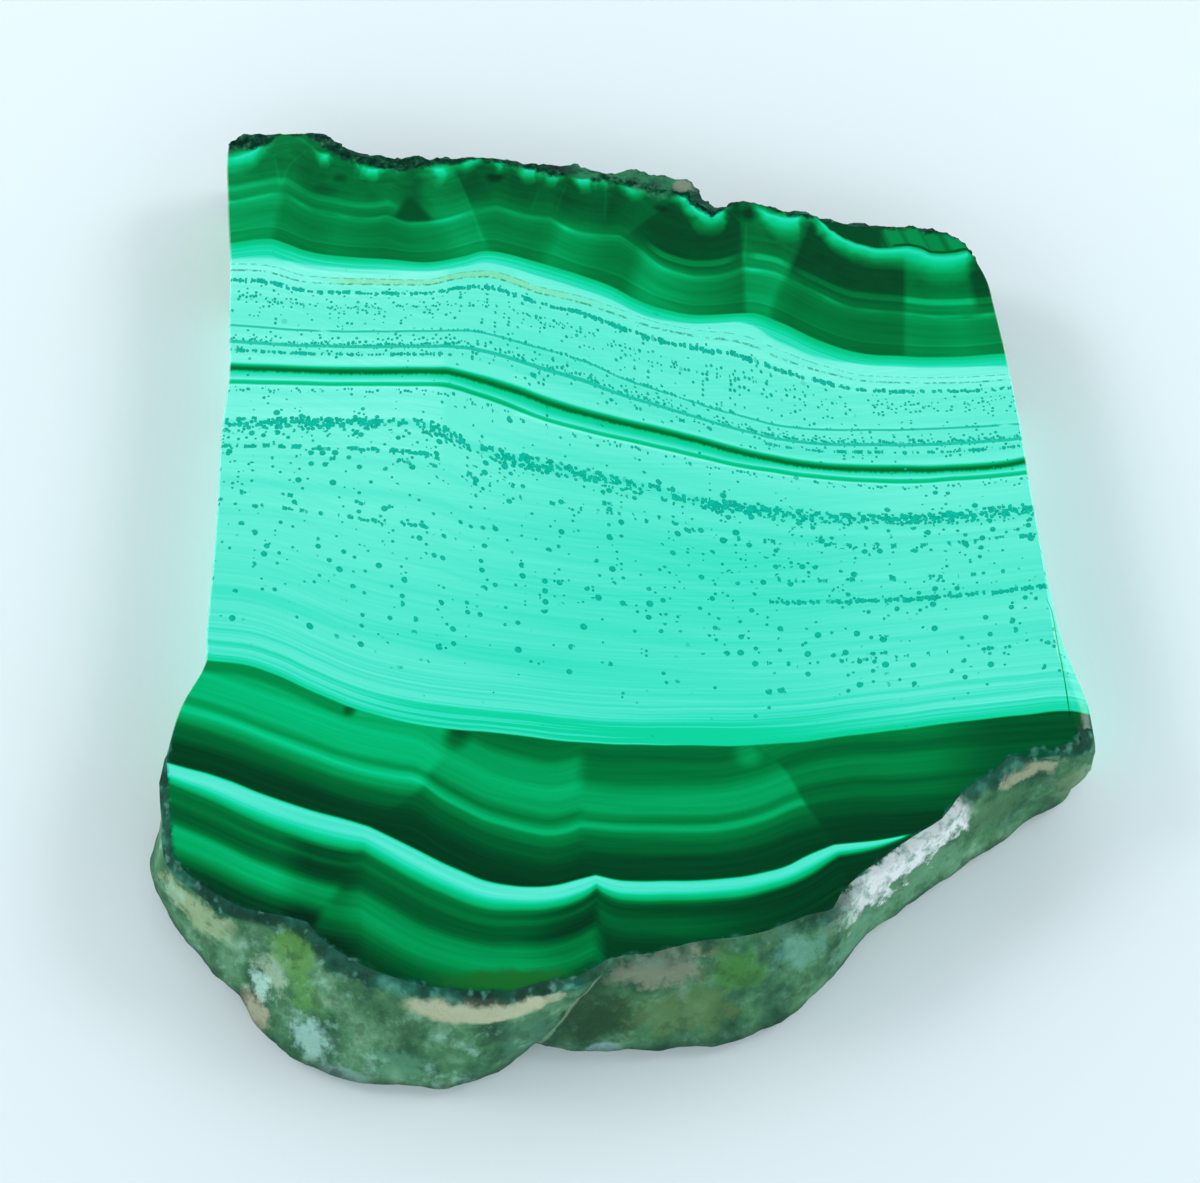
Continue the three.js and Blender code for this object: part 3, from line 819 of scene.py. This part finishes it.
def front_lobes(where, x, y, lines):
    """Tone of the dark lobes at the front, with the pale stripe across them."""
    seams = [y.follow(points) for points in FRONT_SEAMS]
    top = x.follow(STRIPE_TOP, STRIPE_CUSPS)
    bottom = x.follow(STRIPE_BOTTOM, STRIPE_CUSPS)
    height = y - x.follow(FRONT_LINE, FRONT_LINE_CUSPS)
    # The lines are lost in dark green towards the right, below the stripe too
    tone = by_lobe(x, height, seams, FRONT_TONES).towards(76, x.rise(33, 43) * 0.85)
    tone = tone + streaky(x, height, 14, 0.5, 2, 24)
    # Dark wedge under the light bands at the left
    wedge = (lines["front"] - y).below(1.4, 0.5) * x.below(-30.6, 0.8)
    tone = spotted(tone - wedge * 32, where, FRONT_SPOTS, 1.2)

    # Below the stripe: the lines crowd together between two of the seams, and darken beside them
    below = (bottom - y) * (x.rise(-26, -12) * x.rise(-2, -4) * 0.15 + 1)
    foot = by_lobe(x, below, seams, FOOT_TONES)
    foot = foot - (x + 32.5).line(1.5, 4) * 30 - x.rise(-12, -5) * x.rise(-2, -3.6) * 30
    foot = foot.towards(58, x.rise(5, 18) * 0.85) + streaky(x, below, 14, 0.5, 2, 28)
    tone = tone.towards(foot, (y - bottom).below(0, 0.12))
    share = (y - bottom) / (top - bottom)
    stripe = share.tone(STRIPE_TONES) + streaky(x, share, 20, 0.18, 1, 16)
    inside = (y - top).below(0, 0.15) * (y - bottom).above(-0.15, 0.15) * x.below(31.2, 0.8)
    return tone.towards(stripe, inside)


def back_crust(where, x, y):
    """Colour of the matrix that shows along the back rim of the polished face, and its share."""
    lumps = cloud(where, 1.7, 2, 0.6)
    ragged = (cloud(where, 1.3, 3, 0.6) - 0.5) * 2.6
    share = (x.follow(BACK_RIM) - y - x.tone(CRUST_WIDTH) + ragged).below(0, 0.4)
    colour = cloud(where, 1.1, 3, 0.65).coloured(CRUST_COLOURS)
    teal = lumps.rise(0.36, 0.6) * x.between(-6, 6.4, 1)
    colour = colour.tinted((48, 132, 88), teal * 0.9)
    tan = from_spot(where, *TAN_PATCH) + (lumps - 0.5) * 1.5
    colour = colour.tinted((134, 152, 128), tan.rise(1.2, 0.7) * 0.8)
    return colour, share * y.above(40, 0.5)


def band_group():
    """Node group with the colour of the stone's bands, and of the dark matrix behind them."""
    tree = bpy.data.node_groups.new("Malachite bands", "ShaderNodeTree")
    tree.interface.new_socket("Colour", in_out="OUTPUT", socket_type="NodeSocketColor")
    where, x, y, z = place(tree)
    depth = THICKNESS - z
    y = y + depth * BAND_LEAN + (cloud(where, 7, 1) - 0.5) * BAND_WOBBLE
    lines = {name: x.follow(points) for name, points in KEY_LINES.items()}
    level = light_level(y, lines)
    in_back = (y - lines["back"]).above(0, 0.12)
    in_front = (y - lines["front"]).below(0, 0.12)
    in_light = (1 - in_back) * (1 - in_front)

    tone = light_bands(x, y, level, lines).towards(back_lobes(where, x, y, lines), in_back)
    tone = tone.towards(front_lobes(where, x, y, lines), in_front)
    crack = (x - y.follow(CRACK)).line(0.03, 0.08) * y.between(-23, -9, 1)
    low, high = GREENS[0][1], GREENS[-1][1]
    stops = [((colour[1] - low) / (high - low), colour) for colour in GREENS]
    colour = ((tone - crack * 70 - low) / (high - low)).coloured(stops)

    drawn, shade = inclusions(x, y, depth, level, lines)
    colour = colour.tinted(shade.coloured(DOT_COLOURS), drawn * in_light)
    hair, bed = olive_layer(x, level)
    specks = cloud(vector(x, y), 0.7, 2, 0.6, "2D")
    colour = colour.tinted((138, 218, 150), bed * in_light * (specks * 0.9 + 0.15))
    colour = colour.tinted((40, 148, 108), hair * in_light * specks.rise(0.35, 0.6) * 0.8)
    moss = from_spot(where, *MOSS_PATCH) + (cloud(where, 2.5, 2) - 0.5) * 1.4
    colour = colour.tinted((26, 106, 40), moss.rise(1.3, 0.5) * in_front * 0.9)
    colour = colour.tinted(*back_crust(where, x, y))
    feed(tree.nodes.new("NodeGroupOutput").inputs["Colour"], colour)
    return tree


def new_material(name):
    """An empty material and its Principled shader."""
    material = bpy.data.materials.new(name)
    material.use_nodes = True
    return material, material.node_tree.nodes["Principled BSDF"]


def add_finish(shader, colour, roughness, gloss=0.5):
    """Colour, roughness and strength of the reflections, each a field or a plain value."""
    feed(shader.inputs["Base Color"], colour)
    feed(shader.inputs["Roughness"], roughness)
    feed(shader.inputs["Specular IOR Level"], gloss)


def add_bump(shader, height, depth, strength):
    """Height field from 0 to 1, that stands up to depth mm high."""
    node = height.tree.nodes.new("ShaderNodeBump")
    node.inputs["Strength"].default_value = strength
    node.inputs["Distance"].default_value = depth * MM
    feed(node.inputs["Height"], height)
    feed(shader.inputs["Normal"], Field(height.tree, node.outputs["Normal"]))


def use_bands(tree, group):
    """Colour of the bands, from their node group."""
    node = tree.nodes.new("ShaderNodeGroup")
    node.node_tree = group
    return Field(tree, node.outputs["Colour"])


# Attribute of the mesh that is 1 at the edge of the polished face, and 0 inside it
RIM_SHARE = "rim"


def worn_rim(where):
    """Dark teal where the edge between the polished face and the rind was ground; its pale specks are
    partly painted glints.
    """
    colour = cloud(where, 3.2, 2, 0.6).coloured(RIM_COLOURS)
    # Pale teal specks, partly painted glints of light on the ground edge
    specks_and_glints = cloud(where, 1.3, 1, 0.6).rise(0.56, 0.74)
    return colour.tinted((110, 186, 166), specks_and_glints * 0.4)


def clean_rim(x):
    """1 along the part of the front where the rim is hardly worn."""
    return x.between(-3, 20, 2)


def polished_material(group, settings):
    """The polished face: the bands under a gloss, and the worn rim along the rind."""
    material, shader = new_material("polished malachite")
    where, x, y, _ = place(material.node_tree)
    near_rim = where.tree.nodes.new("ShaderNodeAttribute")
    near_rim.attribute_name = RIM_SHARE
    worn = Field(where.tree, near_rim.outputs["Fac"]) + (cloud(where, 1.8, 2, 0.65) - 0.5) * 1.6
    worn = worn.rise(0.65, 1.25) * y.below(-25, 2) * (0.9 - clean_rim(x) * 0.35)
    colour = use_bands(where.tree, group).tinted(worn_rim(where), worn)
    add_finish(shader, colour, cloud(where, 14, 1, 0.6) * 0.1 + settings.polish, settings.gloss)
    add_bump(shader, cloud(where, 0.35, 1), 0.03, 0.5)
    return material


# The notches between the lobes of the rind, each from the polished edge down to the foot, in mm
NOTCHES = [
    (Vector((-2, -53, THICKNESS)), Vector((-10, -57.9, 0))),
    (Vector((-34.8, -48.7, THICKNESS)), Vector((-42.6, -53, 0))),
]
# Patches of the rind: middle, half sizes, colour and strength
RIND_PATCHES = [
    ((-47, -46.4, 7.6), (6, 5, 2.4), (146, 170, 130), 0.75),
    ((-42, -50.5, 8.2), (3, 2.4, 1.6), (60, 96, 74), 0.5),
    ((-38.3, -52.8, 6.4), (2.4, 2.6, 1.9), (160, 190, 164), 0.7),
    ((-39.8, -53.8, 4.6), (2, 2.6, 1.1), (178, 222, 206), 0.8),
    ((-40.5, -55.2, 2.2), (2.2, 3, 1.5), (170, 168, 142), 0.75),
    ((-35.2, -51, 8.8), (2.9, 3.4, 2.6), (88, 146, 66), 0.72),
    ((-33, -53.2, 6.4), (2.6, 3.2, 2.4), (84, 146, 70), 0.75),
    ((-33.4, -58.1, 3.6), (2.2, 3, 1.8), (152, 200, 188), 0.8),
    ((-29.4, -61, 1.3), (2.6, 3, 0.9), (144, 190, 178), 0.6),
    ((-24, -60.7, 3), (3.6, 3, 2), (90, 150, 118), 0.5),
    ((-10, -58.4, 4), (3.6, 3.4, 4), (66, 114, 92), 0.6),
    ((-8.4, -56.3, 9.5), (2.4, 2, 0.8), (176, 176, 148), 0.6),
    ((-2, -57, 5.4), (4.4, 3.2, 3.4), (36, 70, 44), 0.85),
    # Chips near the foot, in a pale colour that is partly painted highlight
    ((-2.2, -57.8, 1.4), (2.6, 2.6, 0.7), (136, 176, 176), 0.7),
    ((6, -55.5, 5), (6, 3, 3), (82, 114, 66), 0.65),
    ((3.6, -52.4, 9.5), (5.4, 2.8, 2.1), (120, 130, 110), 0.85),
    ((8.6, -50.4, 9.9), (2.8, 1.6, 0.8), (156, 160, 130), 0.75),
    ((12, -51.8, 8.6), (3.4, 2.8, 2.7), (60, 122, 56), 0.85),
    ((18.6, -49.6, 8.2), (3.4, 2.8, 2), (92, 152, 134), 0.6),
    ((24, -46, 4), (5, 5, 3), (96, 150, 120), 0.6),
    ((33, -39, 4.6), (6, 5, 3), (92, 146, 110), 0.6),
    ((42, -33.4, 6.4), (5, 3.6, 2.4), (70, 114, 78), 0.7),
    ((46, -30.4, 9.6), (5, 2.2, 1.2), (156, 160, 132), 0.75),
    ((51, -29, 5), (2.2, 2.4, 3), (100, 124, 94), 0.6),
]
# Where the chalky streak of the rind starts, which way it runs, and how long it is, in mm
CHALK_START = (22, -47.5)
CHALK_DIRECTION = (0.77, 0.64)
CHALK_LENGTH = 20.8
# Pale lens in the rind under the rim: middle, half size, colour
LENS = ((-15.4, -57.2, 9.5), (8, 2.2, 1.3), (174, 180, 150))


def chalk_streak(x, y, patches):
    """White streak under the rim at the front right, broken up by the patches."""
    right, back = x - CHALK_START[0], y - CHALK_START[1]
    to_right, to_back = CHALK_DIRECTION
    along = right * to_right + back * to_back
    across = back * to_right - right * to_back
    streak = (across - 0.05 + (patches - 0.5) * 3.6).line(0.85, 0.55)
    return streak * along.rise(-2, 7) * along.below(CHALK_LENGTH, 1.2)


def rind_material():
    """Weathered natural surface: olive and teal, with chalky, mossy and tan patches, and painted shade
    at its foot and beside the front notch.
    """
    material, shader = new_material("natural rind")
    where, x, y, z = place(material.node_tree)
    colour = cloud(where, 5, 4, 0.6).coloured(RIND_COLOURS)
    edge = cloud(where, 2.2, 4, 0.65)
    for middle, half, patch, strength in RIND_PATCHES:
        inside = (distance(where, middle, half) + (edge - 0.5) * 2.4).rise(1.25, 0.65)
        colour = colour.tinted(patch, inside * strength)
    blooms = cloud(where, 2.8, 4, 0.62).rise(0.52, 0.74)
    colour = colour.tinted((146, 200, 180), blooms * (0.55 - x.rise(-12, 0) * 0.4))
    # Dark green blotches, strewn at random
    dark_blotches = cloud(where, 2.6, 3, 0.65).rise(0.46, 0.32)
    colour = colour.tinted((38, 70, 48), dark_blotches * 0.45)
    middle, half, pale = LENS
    lens = (distance(where, middle, half) + (edge - 0.5) * 0.6).rise(1.15, 0.8)
    colour = colour.tinted(pale, lens * 0.9)
    chalk = chalk_streak(x, y, edge)
    colour = colour.tinted(cloud(where, 1.4, 3, 0.65).coloured(CHALK_COLOURS), chalk * 0.9)
    # The notch between the two lobes at the front: a pale line with painted shade beside it
    top, foot = NOTCHES[0]
    fold = x - foot.x - z * ((top.x - foot.x) / THICKNESS) + (edge - 0.5) * 0.8
    in_fold = z.between(1, 10.2, 0.8) * y.below(-50)
    painted_fold_shade = fold.rise(3.6, 1) * fold.above(0.1, 0.2)
    colour = colour.tinted((34, 66, 44), painted_fold_shade * in_fold * 0.6)
    colour = colour.tinted((138, 164, 136), fold.line(0.08, 0.25) * in_fold * 0.45)
    # Painted shade darkening the foot, and the worn rim, both with a ragged border
    mottled = z + (edge - 0.5) * 2.4
    colour = colour.tinted((22, 44, 36), mottled.rise(2.4, 0.6) * 0.75)
    rim = mottled.rise(9.7, 10.5) * (1 - chalk * 0.8) * (0.9 - clean_rim(x) * 0.55)
    add_finish(shader, colour.tinted(worn_rim(where), rim), 0.55 + edge * 0.35, 0.12)
    add_bump(shader, cloud(where, 1.8, 5, 0.7) * 0.7 + cloud(where, 0.35, 2, 0.6) * 0.3, 0.7, 0.8)
    return material


def matrix_material():
    """Broken crust along the back: nearly black green with paler grains and teal crystals."""
    material, shader = new_material("broken matrix")
    where, x, _, z = place(material.node_tree)
    colour = cloud(where, 3, 4, 0.65).coloured(MATRIX_COLOURS)
    grains = cloud(where, 0.8, 3, 0.7).rise(0.62, 0.72)
    colour = colour.tinted((108, 136, 98), grains * 0.5)
    crystals = cloud(where, 4, 2).rise(0.6, 0.7)
    colour = colour.tinted((24, 132, 92), crystals * 0.6)
    lumps = cloud(where, 2.2, 4, 0.65)
    near_crust = x.between(-6, 9, 1.5) * z.rise(4, 10)
    colour = colour.tinted((42, 126, 84), lumps.rise(0.38, 0.58) * near_crust * 0.9)
    tan = distance(where, (8.2, 54, 10), (1.4, 1.6, 1.6)) + (lumps - 0.5) * 1.5
    add_finish(shader, colour.tinted((140, 152, 130), tan.rise(1.2, 0.7) * 0.8), 0.75, 0.1)
    add_bump(shader, cloud(where, 1.3, 5, 0.75), 0.9, 0.9)
    return material


def sawn_material(group):
    """Sawn and unpolished: the bands run through, dulled, with fine saw marks across them."""
    material, shader = new_material("sawn malachite")
    where, x, y, z = place(material.node_tree)
    dust = cloud(where, 6, 4, 0.6) * 0.3 + 0.12
    add_finish(shader, use_bands(where.tree, group).tinted((96, 150, 122), dust), 0.6)
    marks = streaks(z + y * 0.05, x + y, 20, 0.5, 2) * 0.6 + cloud(where, 0.8, 3) * 0.4
    add_bump(shader, marks, 0.15, 0.6)
    return material


# Order of the slab's materials
POLISHED, RIND, MATRIX, SAWN = range(4)
# How far the worn rim reaches into the polished face, in mm
RIM_WIDTH = 1.1

# A level face, which points straight up or down, has a normal with at least this z
FLAT = 0.999
# Where the finishes of the sides meet, in mm: the rind and its right corner, the matrix, the back
# end of the sawn left side, and the foot of the strip under the rim that is polished too
RIND_END = -28.5
RIGHT_CORNER = (49, -25)
MATRIX_START = 41.5
LEFT_CORNER = (-49.4, 60)
POLISH_FOOT = 10.5


def is_wall(face):
    return abs(face.normal.z) < FLAT


def surface_of(face):
    """Which material a face of the slab takes, from where it is and where it points."""
    x, y, z = face.calc_center_median() / MM
    if face.normal.z > FLAT and z > THICKNESS - 0.01:
        return POLISHED
    if z < 0.01:
        return SAWN
    if y < RIND_END or (x > RIGHT_CORNER[0] and y < RIGHT_CORNER[1]):
        return RIND
    behind_left_side = x > LEFT_CORNER[0] or y > LEFT_CORNER[1]
    if y > MATRIX_START and face.normal.x > -0.8 and behind_left_side:
        return MATRIX
    return POLISHED if z > POLISH_FOOT else SAWN


def rough_move(surface, point, settings):
    """How far in mm a point of the edge moves outwards, from where it is in mm."""
    if surface == RIND:
        swell = noise.fractal(point * 0.2, 1, 2.1, 2) * 0.5
        lumps = noise.noise(point * 0.9) * 0.08 + noise.noise(point * 2.1) * 0.04
        return (swell + lumps) * settings.rind_relief
    if surface == MATRIX:
        ledge = noise.voronoi(point * 0.45)[0][0] * 0.9 - 0.4
        grain = noise.noise(point * 1.1) * 0.5 + noise.noise(point * 2.7) * 0.4
        return (ledge + grain) * settings.matrix_relief
    return noise.noise(point * 1.7) * 0.04


def held(value, low, high):
    return min(max(value, low), high)


# The wall is rounded off between these heights, and the rind is evened out in front of this y, up
# to this height, but not this close to a notch, all in mm
ROUNDED = (0.3, 10.3)
EVENED_FROM, EVENED_TO = -28, 10.2
NOTCH_REACH = 2
# Share of the relief that is left right under the polished face, and how far down in mm it grows
# to the whole
EDGE_RELIEF = {POLISHED: 0.28, RIND: 0.28, MATRIX: 0.75, SAWN: 0.28}
EDGE_DEPTH = 1.2


def even_out(places, times):
    """Evens points out between their neighbours: each place is a vertex and its two neighbours."""
    for _ in range(times):
        even = [(a.co + b.co + vertex.co * 2) / 4 for vertex, a, b in places]
        for (vertex, *_), co in zip(places, even):
            vertex.co.xy = co.xy


def even_rind(bm):
    """Evens the wall of the rind out along itself, level by level, but keeps the notches."""
    places = []
    for vertex in bm.verts:
        point = vertex.co / MM
        share = 1 - point.z / THICKNESS
        away = min((point - top.lerp(foot, share)).xy.length for top, foot in NOTCHES)
        beside = [edge.other_vert(vertex) for edge in vertex.link_edges]
        level = [other for other in beside if abs(other.co.z - vertex.co.z) < 0.1 * MM]
        in_rind = point.y < EVENED_FROM and point.z < EVENED_TO and away >= NOTCH_REACH
        if in_rind and len(level) == 2:
            places.append((vertex, *level))
    even_out(places, times=20)


def cut_rim(bm):
    """Cuts a narrow strip along the edge of the polished face, and evens out its inner side."""
    top = max(bm.faces, key=lambda face: face.calc_center_median().z)
    bmesh.ops.inset_region(bm, faces=[top], thickness=RIM_WIDTH * MM, use_even_offset=True)
    ring = [loop.vert for loop in top.loops]
    even_out(list(zip(ring, ring[-1:] + ring[:-1], ring[1:] + ring[:1])), times=4)


def refine_edge(bm, settings):
    """Divides the wall of the slab finely, rounds its form off, and sets the finishes."""
    edges = {edge for face in bm.faces if is_wall(face) for edge in face.edges}
    bmesh.ops.subdivide_edges(bm, edges=list(edges), cuts=settings.cuts, use_grid_fill=True)
    wall = [face for face in bm.faces if len(face.verts) < 5]
    points = {vertex for face in wall for vertex in face.verts}
    bm.normal_update()
    bmesh.ops.smooth_vert(
        bm,
        verts=[vertex for vertex in points if ROUNDED[0] < vertex.co.z / MM < ROUNDED[1]],
        factor=0.5,
        use_axis_x=True,
        use_axis_y=True,
        use_axis_z=False,
    )
    even_rind(bm)
    bm.normal_update()
    for face in bm.faces:
        face.material_index = surface_of(face)
    return wall


def roughen(wall, settings):
    """Gives the wall the relief of rind and broken stone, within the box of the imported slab."""
    kinds = {}
    for face in wall:
        for vertex in face.verts:
            kinds.setdefault(vertex, set()).add(face.material_index)
    low, high = cad_box
    for vertex, found in kinds.items():
        # The saw cut the corners of the matrix flush with the sides
        kind = SAWN if found >= {MATRIX, SAWN} else max(found & {RIND, MATRIX} or found)
        point = vertex.co / MM
        near_face = held((THICKNESS - point.z) / EDGE_DEPTH, EDGE_RELIEF[kind], 1)
        out = Vector((vertex.normal.x, vertex.normal.y, 0)).normalized()
        moved = vertex.co + out * rough_move(kind, point, settings) * near_face * MM
        vertex.co.x = held(moved.x, low.x, high.x)
        vertex.co.y = held(moved.y, low.y, high.y)


def slab_mesh(settings):
    """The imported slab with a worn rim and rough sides."""
    bm = bmesh.new()
    bm.from_mesh(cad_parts[SLAB_NODE].data)
    bmesh.ops.remove_doubles(bm, verts=bm.verts, dist=0.01 * MM)
    bm.normal_update()
    # The polished face and the underside are one face each
    for level in (THICKNESS * MM, 0):
        flat = [f for f in bm.faces if all(abs(v.co.z - level) < 0.001 * MM for v in f.verts)]
        bmesh.ops.dissolve_faces(bm, faces=flat)
    cut_rim(bm)
    wall = refine_edge(bm, settings)
    roughen(wall, settings)
    bm.normal_update()
    share = bm.verts.layers.float.new(RIM_SHARE)
    for vertex in bm.verts:
        vertex[share] = any(is_wall(face) for face in vertex.link_faces)
    for face in bm.faces:
        face.smooth = len(face.verts) < 5
    for edge in bm.edges:
        edge.smooth = all(face.smooth for face in edge.link_faces)
    bmesh.ops.triangulate(bm, faces=[f for f in bm.faces if len(f.verts) > 4])
    mesh = bpy.data.meshes.new("malachite_stone")
    bm.to_mesh(mesh)
    bm.free()
    return mesh


def new_object(name, data):
    made = bpy.data.objects.new(name, data)
    bpy.context.scene.collection.objects.link(made)
    return made


class SlabSettings(bpy.types.PropertyGroup):
    """Surface of the stone"""

    cuts: IntProperty(
        name="Edge cuts", description="How finely the edge of the slab is divided",
        default=2, min=1, max=3,
    )
    rind_relief: FloatProperty(
        name="Rind relief", description="Depth of the rind's lumps, as a share of the real stone's",
        default=1.0, min=0, max=2, subtype="FACTOR",
    )
    matrix_relief: FloatProperty(
        name="Matrix relief", description="Depth of the broken edge, as a share of the real stone's",
        default=1.0, min=0, max=2, subtype="FACTOR",
    )
    polish: FloatProperty(
        name="Polish roughness", description="Roughness of the polished face where it is cleanest",
        default=0.12, min=0, max=1, subtype="FACTOR",
    )
    gloss: FloatProperty(
        name="Gloss", description="Strength of the reflections on the polished face",
        default=0.3, min=0, max=1, subtype="FACTOR",
    )


class StageSettings(bpy.types.PropertyGroup):
    """Floor, lights and camera"""

    floor_colour: FloatVectorProperty(
        name="Floor", description="Colour of the floor", default=(0.84, 0.92, 0.94),
        size=3, min=0, max=1, subtype="COLOR",
    )
    floor_size: FloatProperty(
        name="Floor size", description="Side of the floor", default=6, min=0.5, unit="LENGTH"
    )
    lamp_power: FloatProperty(
        name="Lamp power", description="Power of each of the two soft lamps",
        default=0.97, min=0, unit="POWER",
    )
    sky_strength: FloatProperty(
        name="Sky strength", description="Strength of the even light from all sides",
        default=2.28, min=0,
    )
    view_height: FloatProperty(
        name="View height", description="Angle of the camera above the floor",
        default=math.radians(60), subtype="ANGLE",
    )
    view_distance: FloatProperty(
        name="View distance", description="Camera to the polished face", default=0.25581, unit="LENGTH"
    )
    lens: FloatProperty(name="Lens", description="Focal length", default=66, unit="CAMERA")


class MALACHITE_OT_slab(bpy.types.Operator):
    """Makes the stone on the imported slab, with its polished face, rind and broken edge"""

    bl_idname = "malachite.slab"
    bl_label = "Stone"

    def execute(self, context):
        settings = context.scene.malachite_slab_settings
        stone = new_object("malachite_stone", slab_mesh(settings))
        group = band_group()
        for material in (
            polished_material(group, settings),
            rind_material(),
            matrix_material(),
            sawn_material(group),
        ):
            stone.data.materials.append(material)
        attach(stone, "root")
        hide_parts(SLAB_NODE)
        return {"FINISHED"}


class MALACHITE_OT_stage(bpy.types.Operator):
    """Makes the pale floor, two soft lamps, the even sky light and the camera"""

    bl_idname = "malachite.stage"
    bl_label = "Stage"

    def execute(self, context):
        settings = context.scene.malachite_stage_settings
        make_floor(settings)
        make_sky(context.scene, settings)
        for side in (-1, 1):
            make_lamp(side, settings)
        make_camera(context.scene, settings)
        context.scene.view_settings.view_transform = "Standard"
        return {"FINISHED"}


def make_floor(settings):
    """A square of pale floor that the stone lies on."""
    bm = bmesh.new()
    bmesh.ops.create_grid(bm, x_segments=1, y_segments=1, size=settings.floor_size / 2)
    mesh = bpy.data.meshes.new("floor")
    bm.to_mesh(mesh)
    bm.free()
    floor = new_object("floor", mesh)
    material, shader = new_material("pale floor")
    add_finish(shader, (*settings.floor_colour, 1), 0.6, 0.1)
    mesh.materials.append(material)


# The bright walls of the studio end at this height, as the sine of the angle above the floor
WALL_TOP = 0.66
WALL, CEILING = (240, 250, 255), (28, 30, 31)


def make_sky(scene, settings):
    """Bright walls all round, and a dark ceiling that the polished face mirrors to the camera."""
    scene.world = bpy.data.worlds.new("even light")
    scene.world.use_nodes = True
    tree = scene.world.node_tree
    direction = tree.nodes.new("ShaderNodeTexCoord")
    height = Field(tree, direction.outputs["Generated"]).parts()[2]
    walls = height.coloured([(0, WALL), (WALL_TOP - 0.1, WALL), (WALL_TOP, CEILING)])
    background = tree.nodes["Background"]
    feed(background.inputs["Color"], walls)
    background.inputs["Strength"].default_value = settings.sky_strength


# Where the right lamp stands, and the side of either lamp, in metres
LAMP_PLACE = Vector((0.55, 0.22, 0.4))
LAMP_SIZE = 0.22
# The left lamp is a little warmer than the right one, which lights the left lamp's shadow
LAMP_TINTS = {-1: (1, 1, 0.95), 1: (0.93, 0.98, 1)}


def make_lamp(side, settings):
    """A square lamp on the left or the right, a little behind the stone, aimed at it."""
    light = bpy.data.lights.new("soft lamp", "AREA")
    light.size = LAMP_SIZE
    light.energy = settings.lamp_power
    light.color = LAMP_TINTS[side]
    lamp = new_object("soft lamp", light)
    lamp.location = (side * LAMP_PLACE.x, LAMP_PLACE.y, LAMP_PLACE.z)
    lamp.rotation_euler = (-lamp.location).to_track_quat("-Z", "Y").to_euler()


# The point of the polished face in the middle of the picture, in mm
VIEW_TARGET = Vector((-2.502, -7.323, THICKNESS))


def make_camera(scene, settings):
    """The camera looks down at the polished face from the side of the rind."""
    data = bpy.data.cameras.new("camera")
    data.lens = settings.lens
    data.sensor_width = 36
    data.sensor_fit = "HORIZONTAL"
    camera = new_object("camera", data)
    tilt = settings.view_height
    away = Vector((0, -math.cos(tilt), math.sin(tilt))) * settings.view_distance
    camera.location = VIEW_TARGET * MM + away
    camera.rotation_euler = (math.pi / 2 - tilt, 0, 0)
    scene.camera = camera


class MALACHITE_PT_panel(bpy.types.Panel):
    """Lists the stone and the stage"""

    bl_label = "Polished malachite slab"
    bl_space_type = "VIEW_3D"
    bl_region_type = "UI"
    bl_category = "Malachite"

    def draw(self, context):
        scene = context.scene
        for operator, settings in (
            ("malachite.slab", scene.malachite_slab_settings),
            ("malachite.stage", scene.malachite_stage_settings),
        ):
            box = self.layout.box()
            for name in settings.bl_rna.properties.keys():
                if name not in {"rna_type", "name"}:
                    box.prop(settings, name)
            box.operator(operator)


CLASSES = (SlabSettings, StageSettings, MALACHITE_OT_slab, MALACHITE_OT_stage, MALACHITE_PT_panel)


def register():
    for cls in CLASSES:
        bpy.utils.register_class(cls)
    bpy.types.Scene.malachite_slab_settings = PointerProperty(type=SlabSettings)
    bpy.types.Scene.malachite_stage_settings = PointerProperty(type=StageSettings)


def unregister():
    del bpy.types.Scene.malachite_stage_settings
    del bpy.types.Scene.malachite_slab_settings
    for cls in reversed(CLASSES):
        bpy.utils.unregister_class(cls)


def main():
    register()
    bpy.ops.malachite.stage()
    bpy.ops.malachite.slab()


if __name__ == "__main__":
    main()
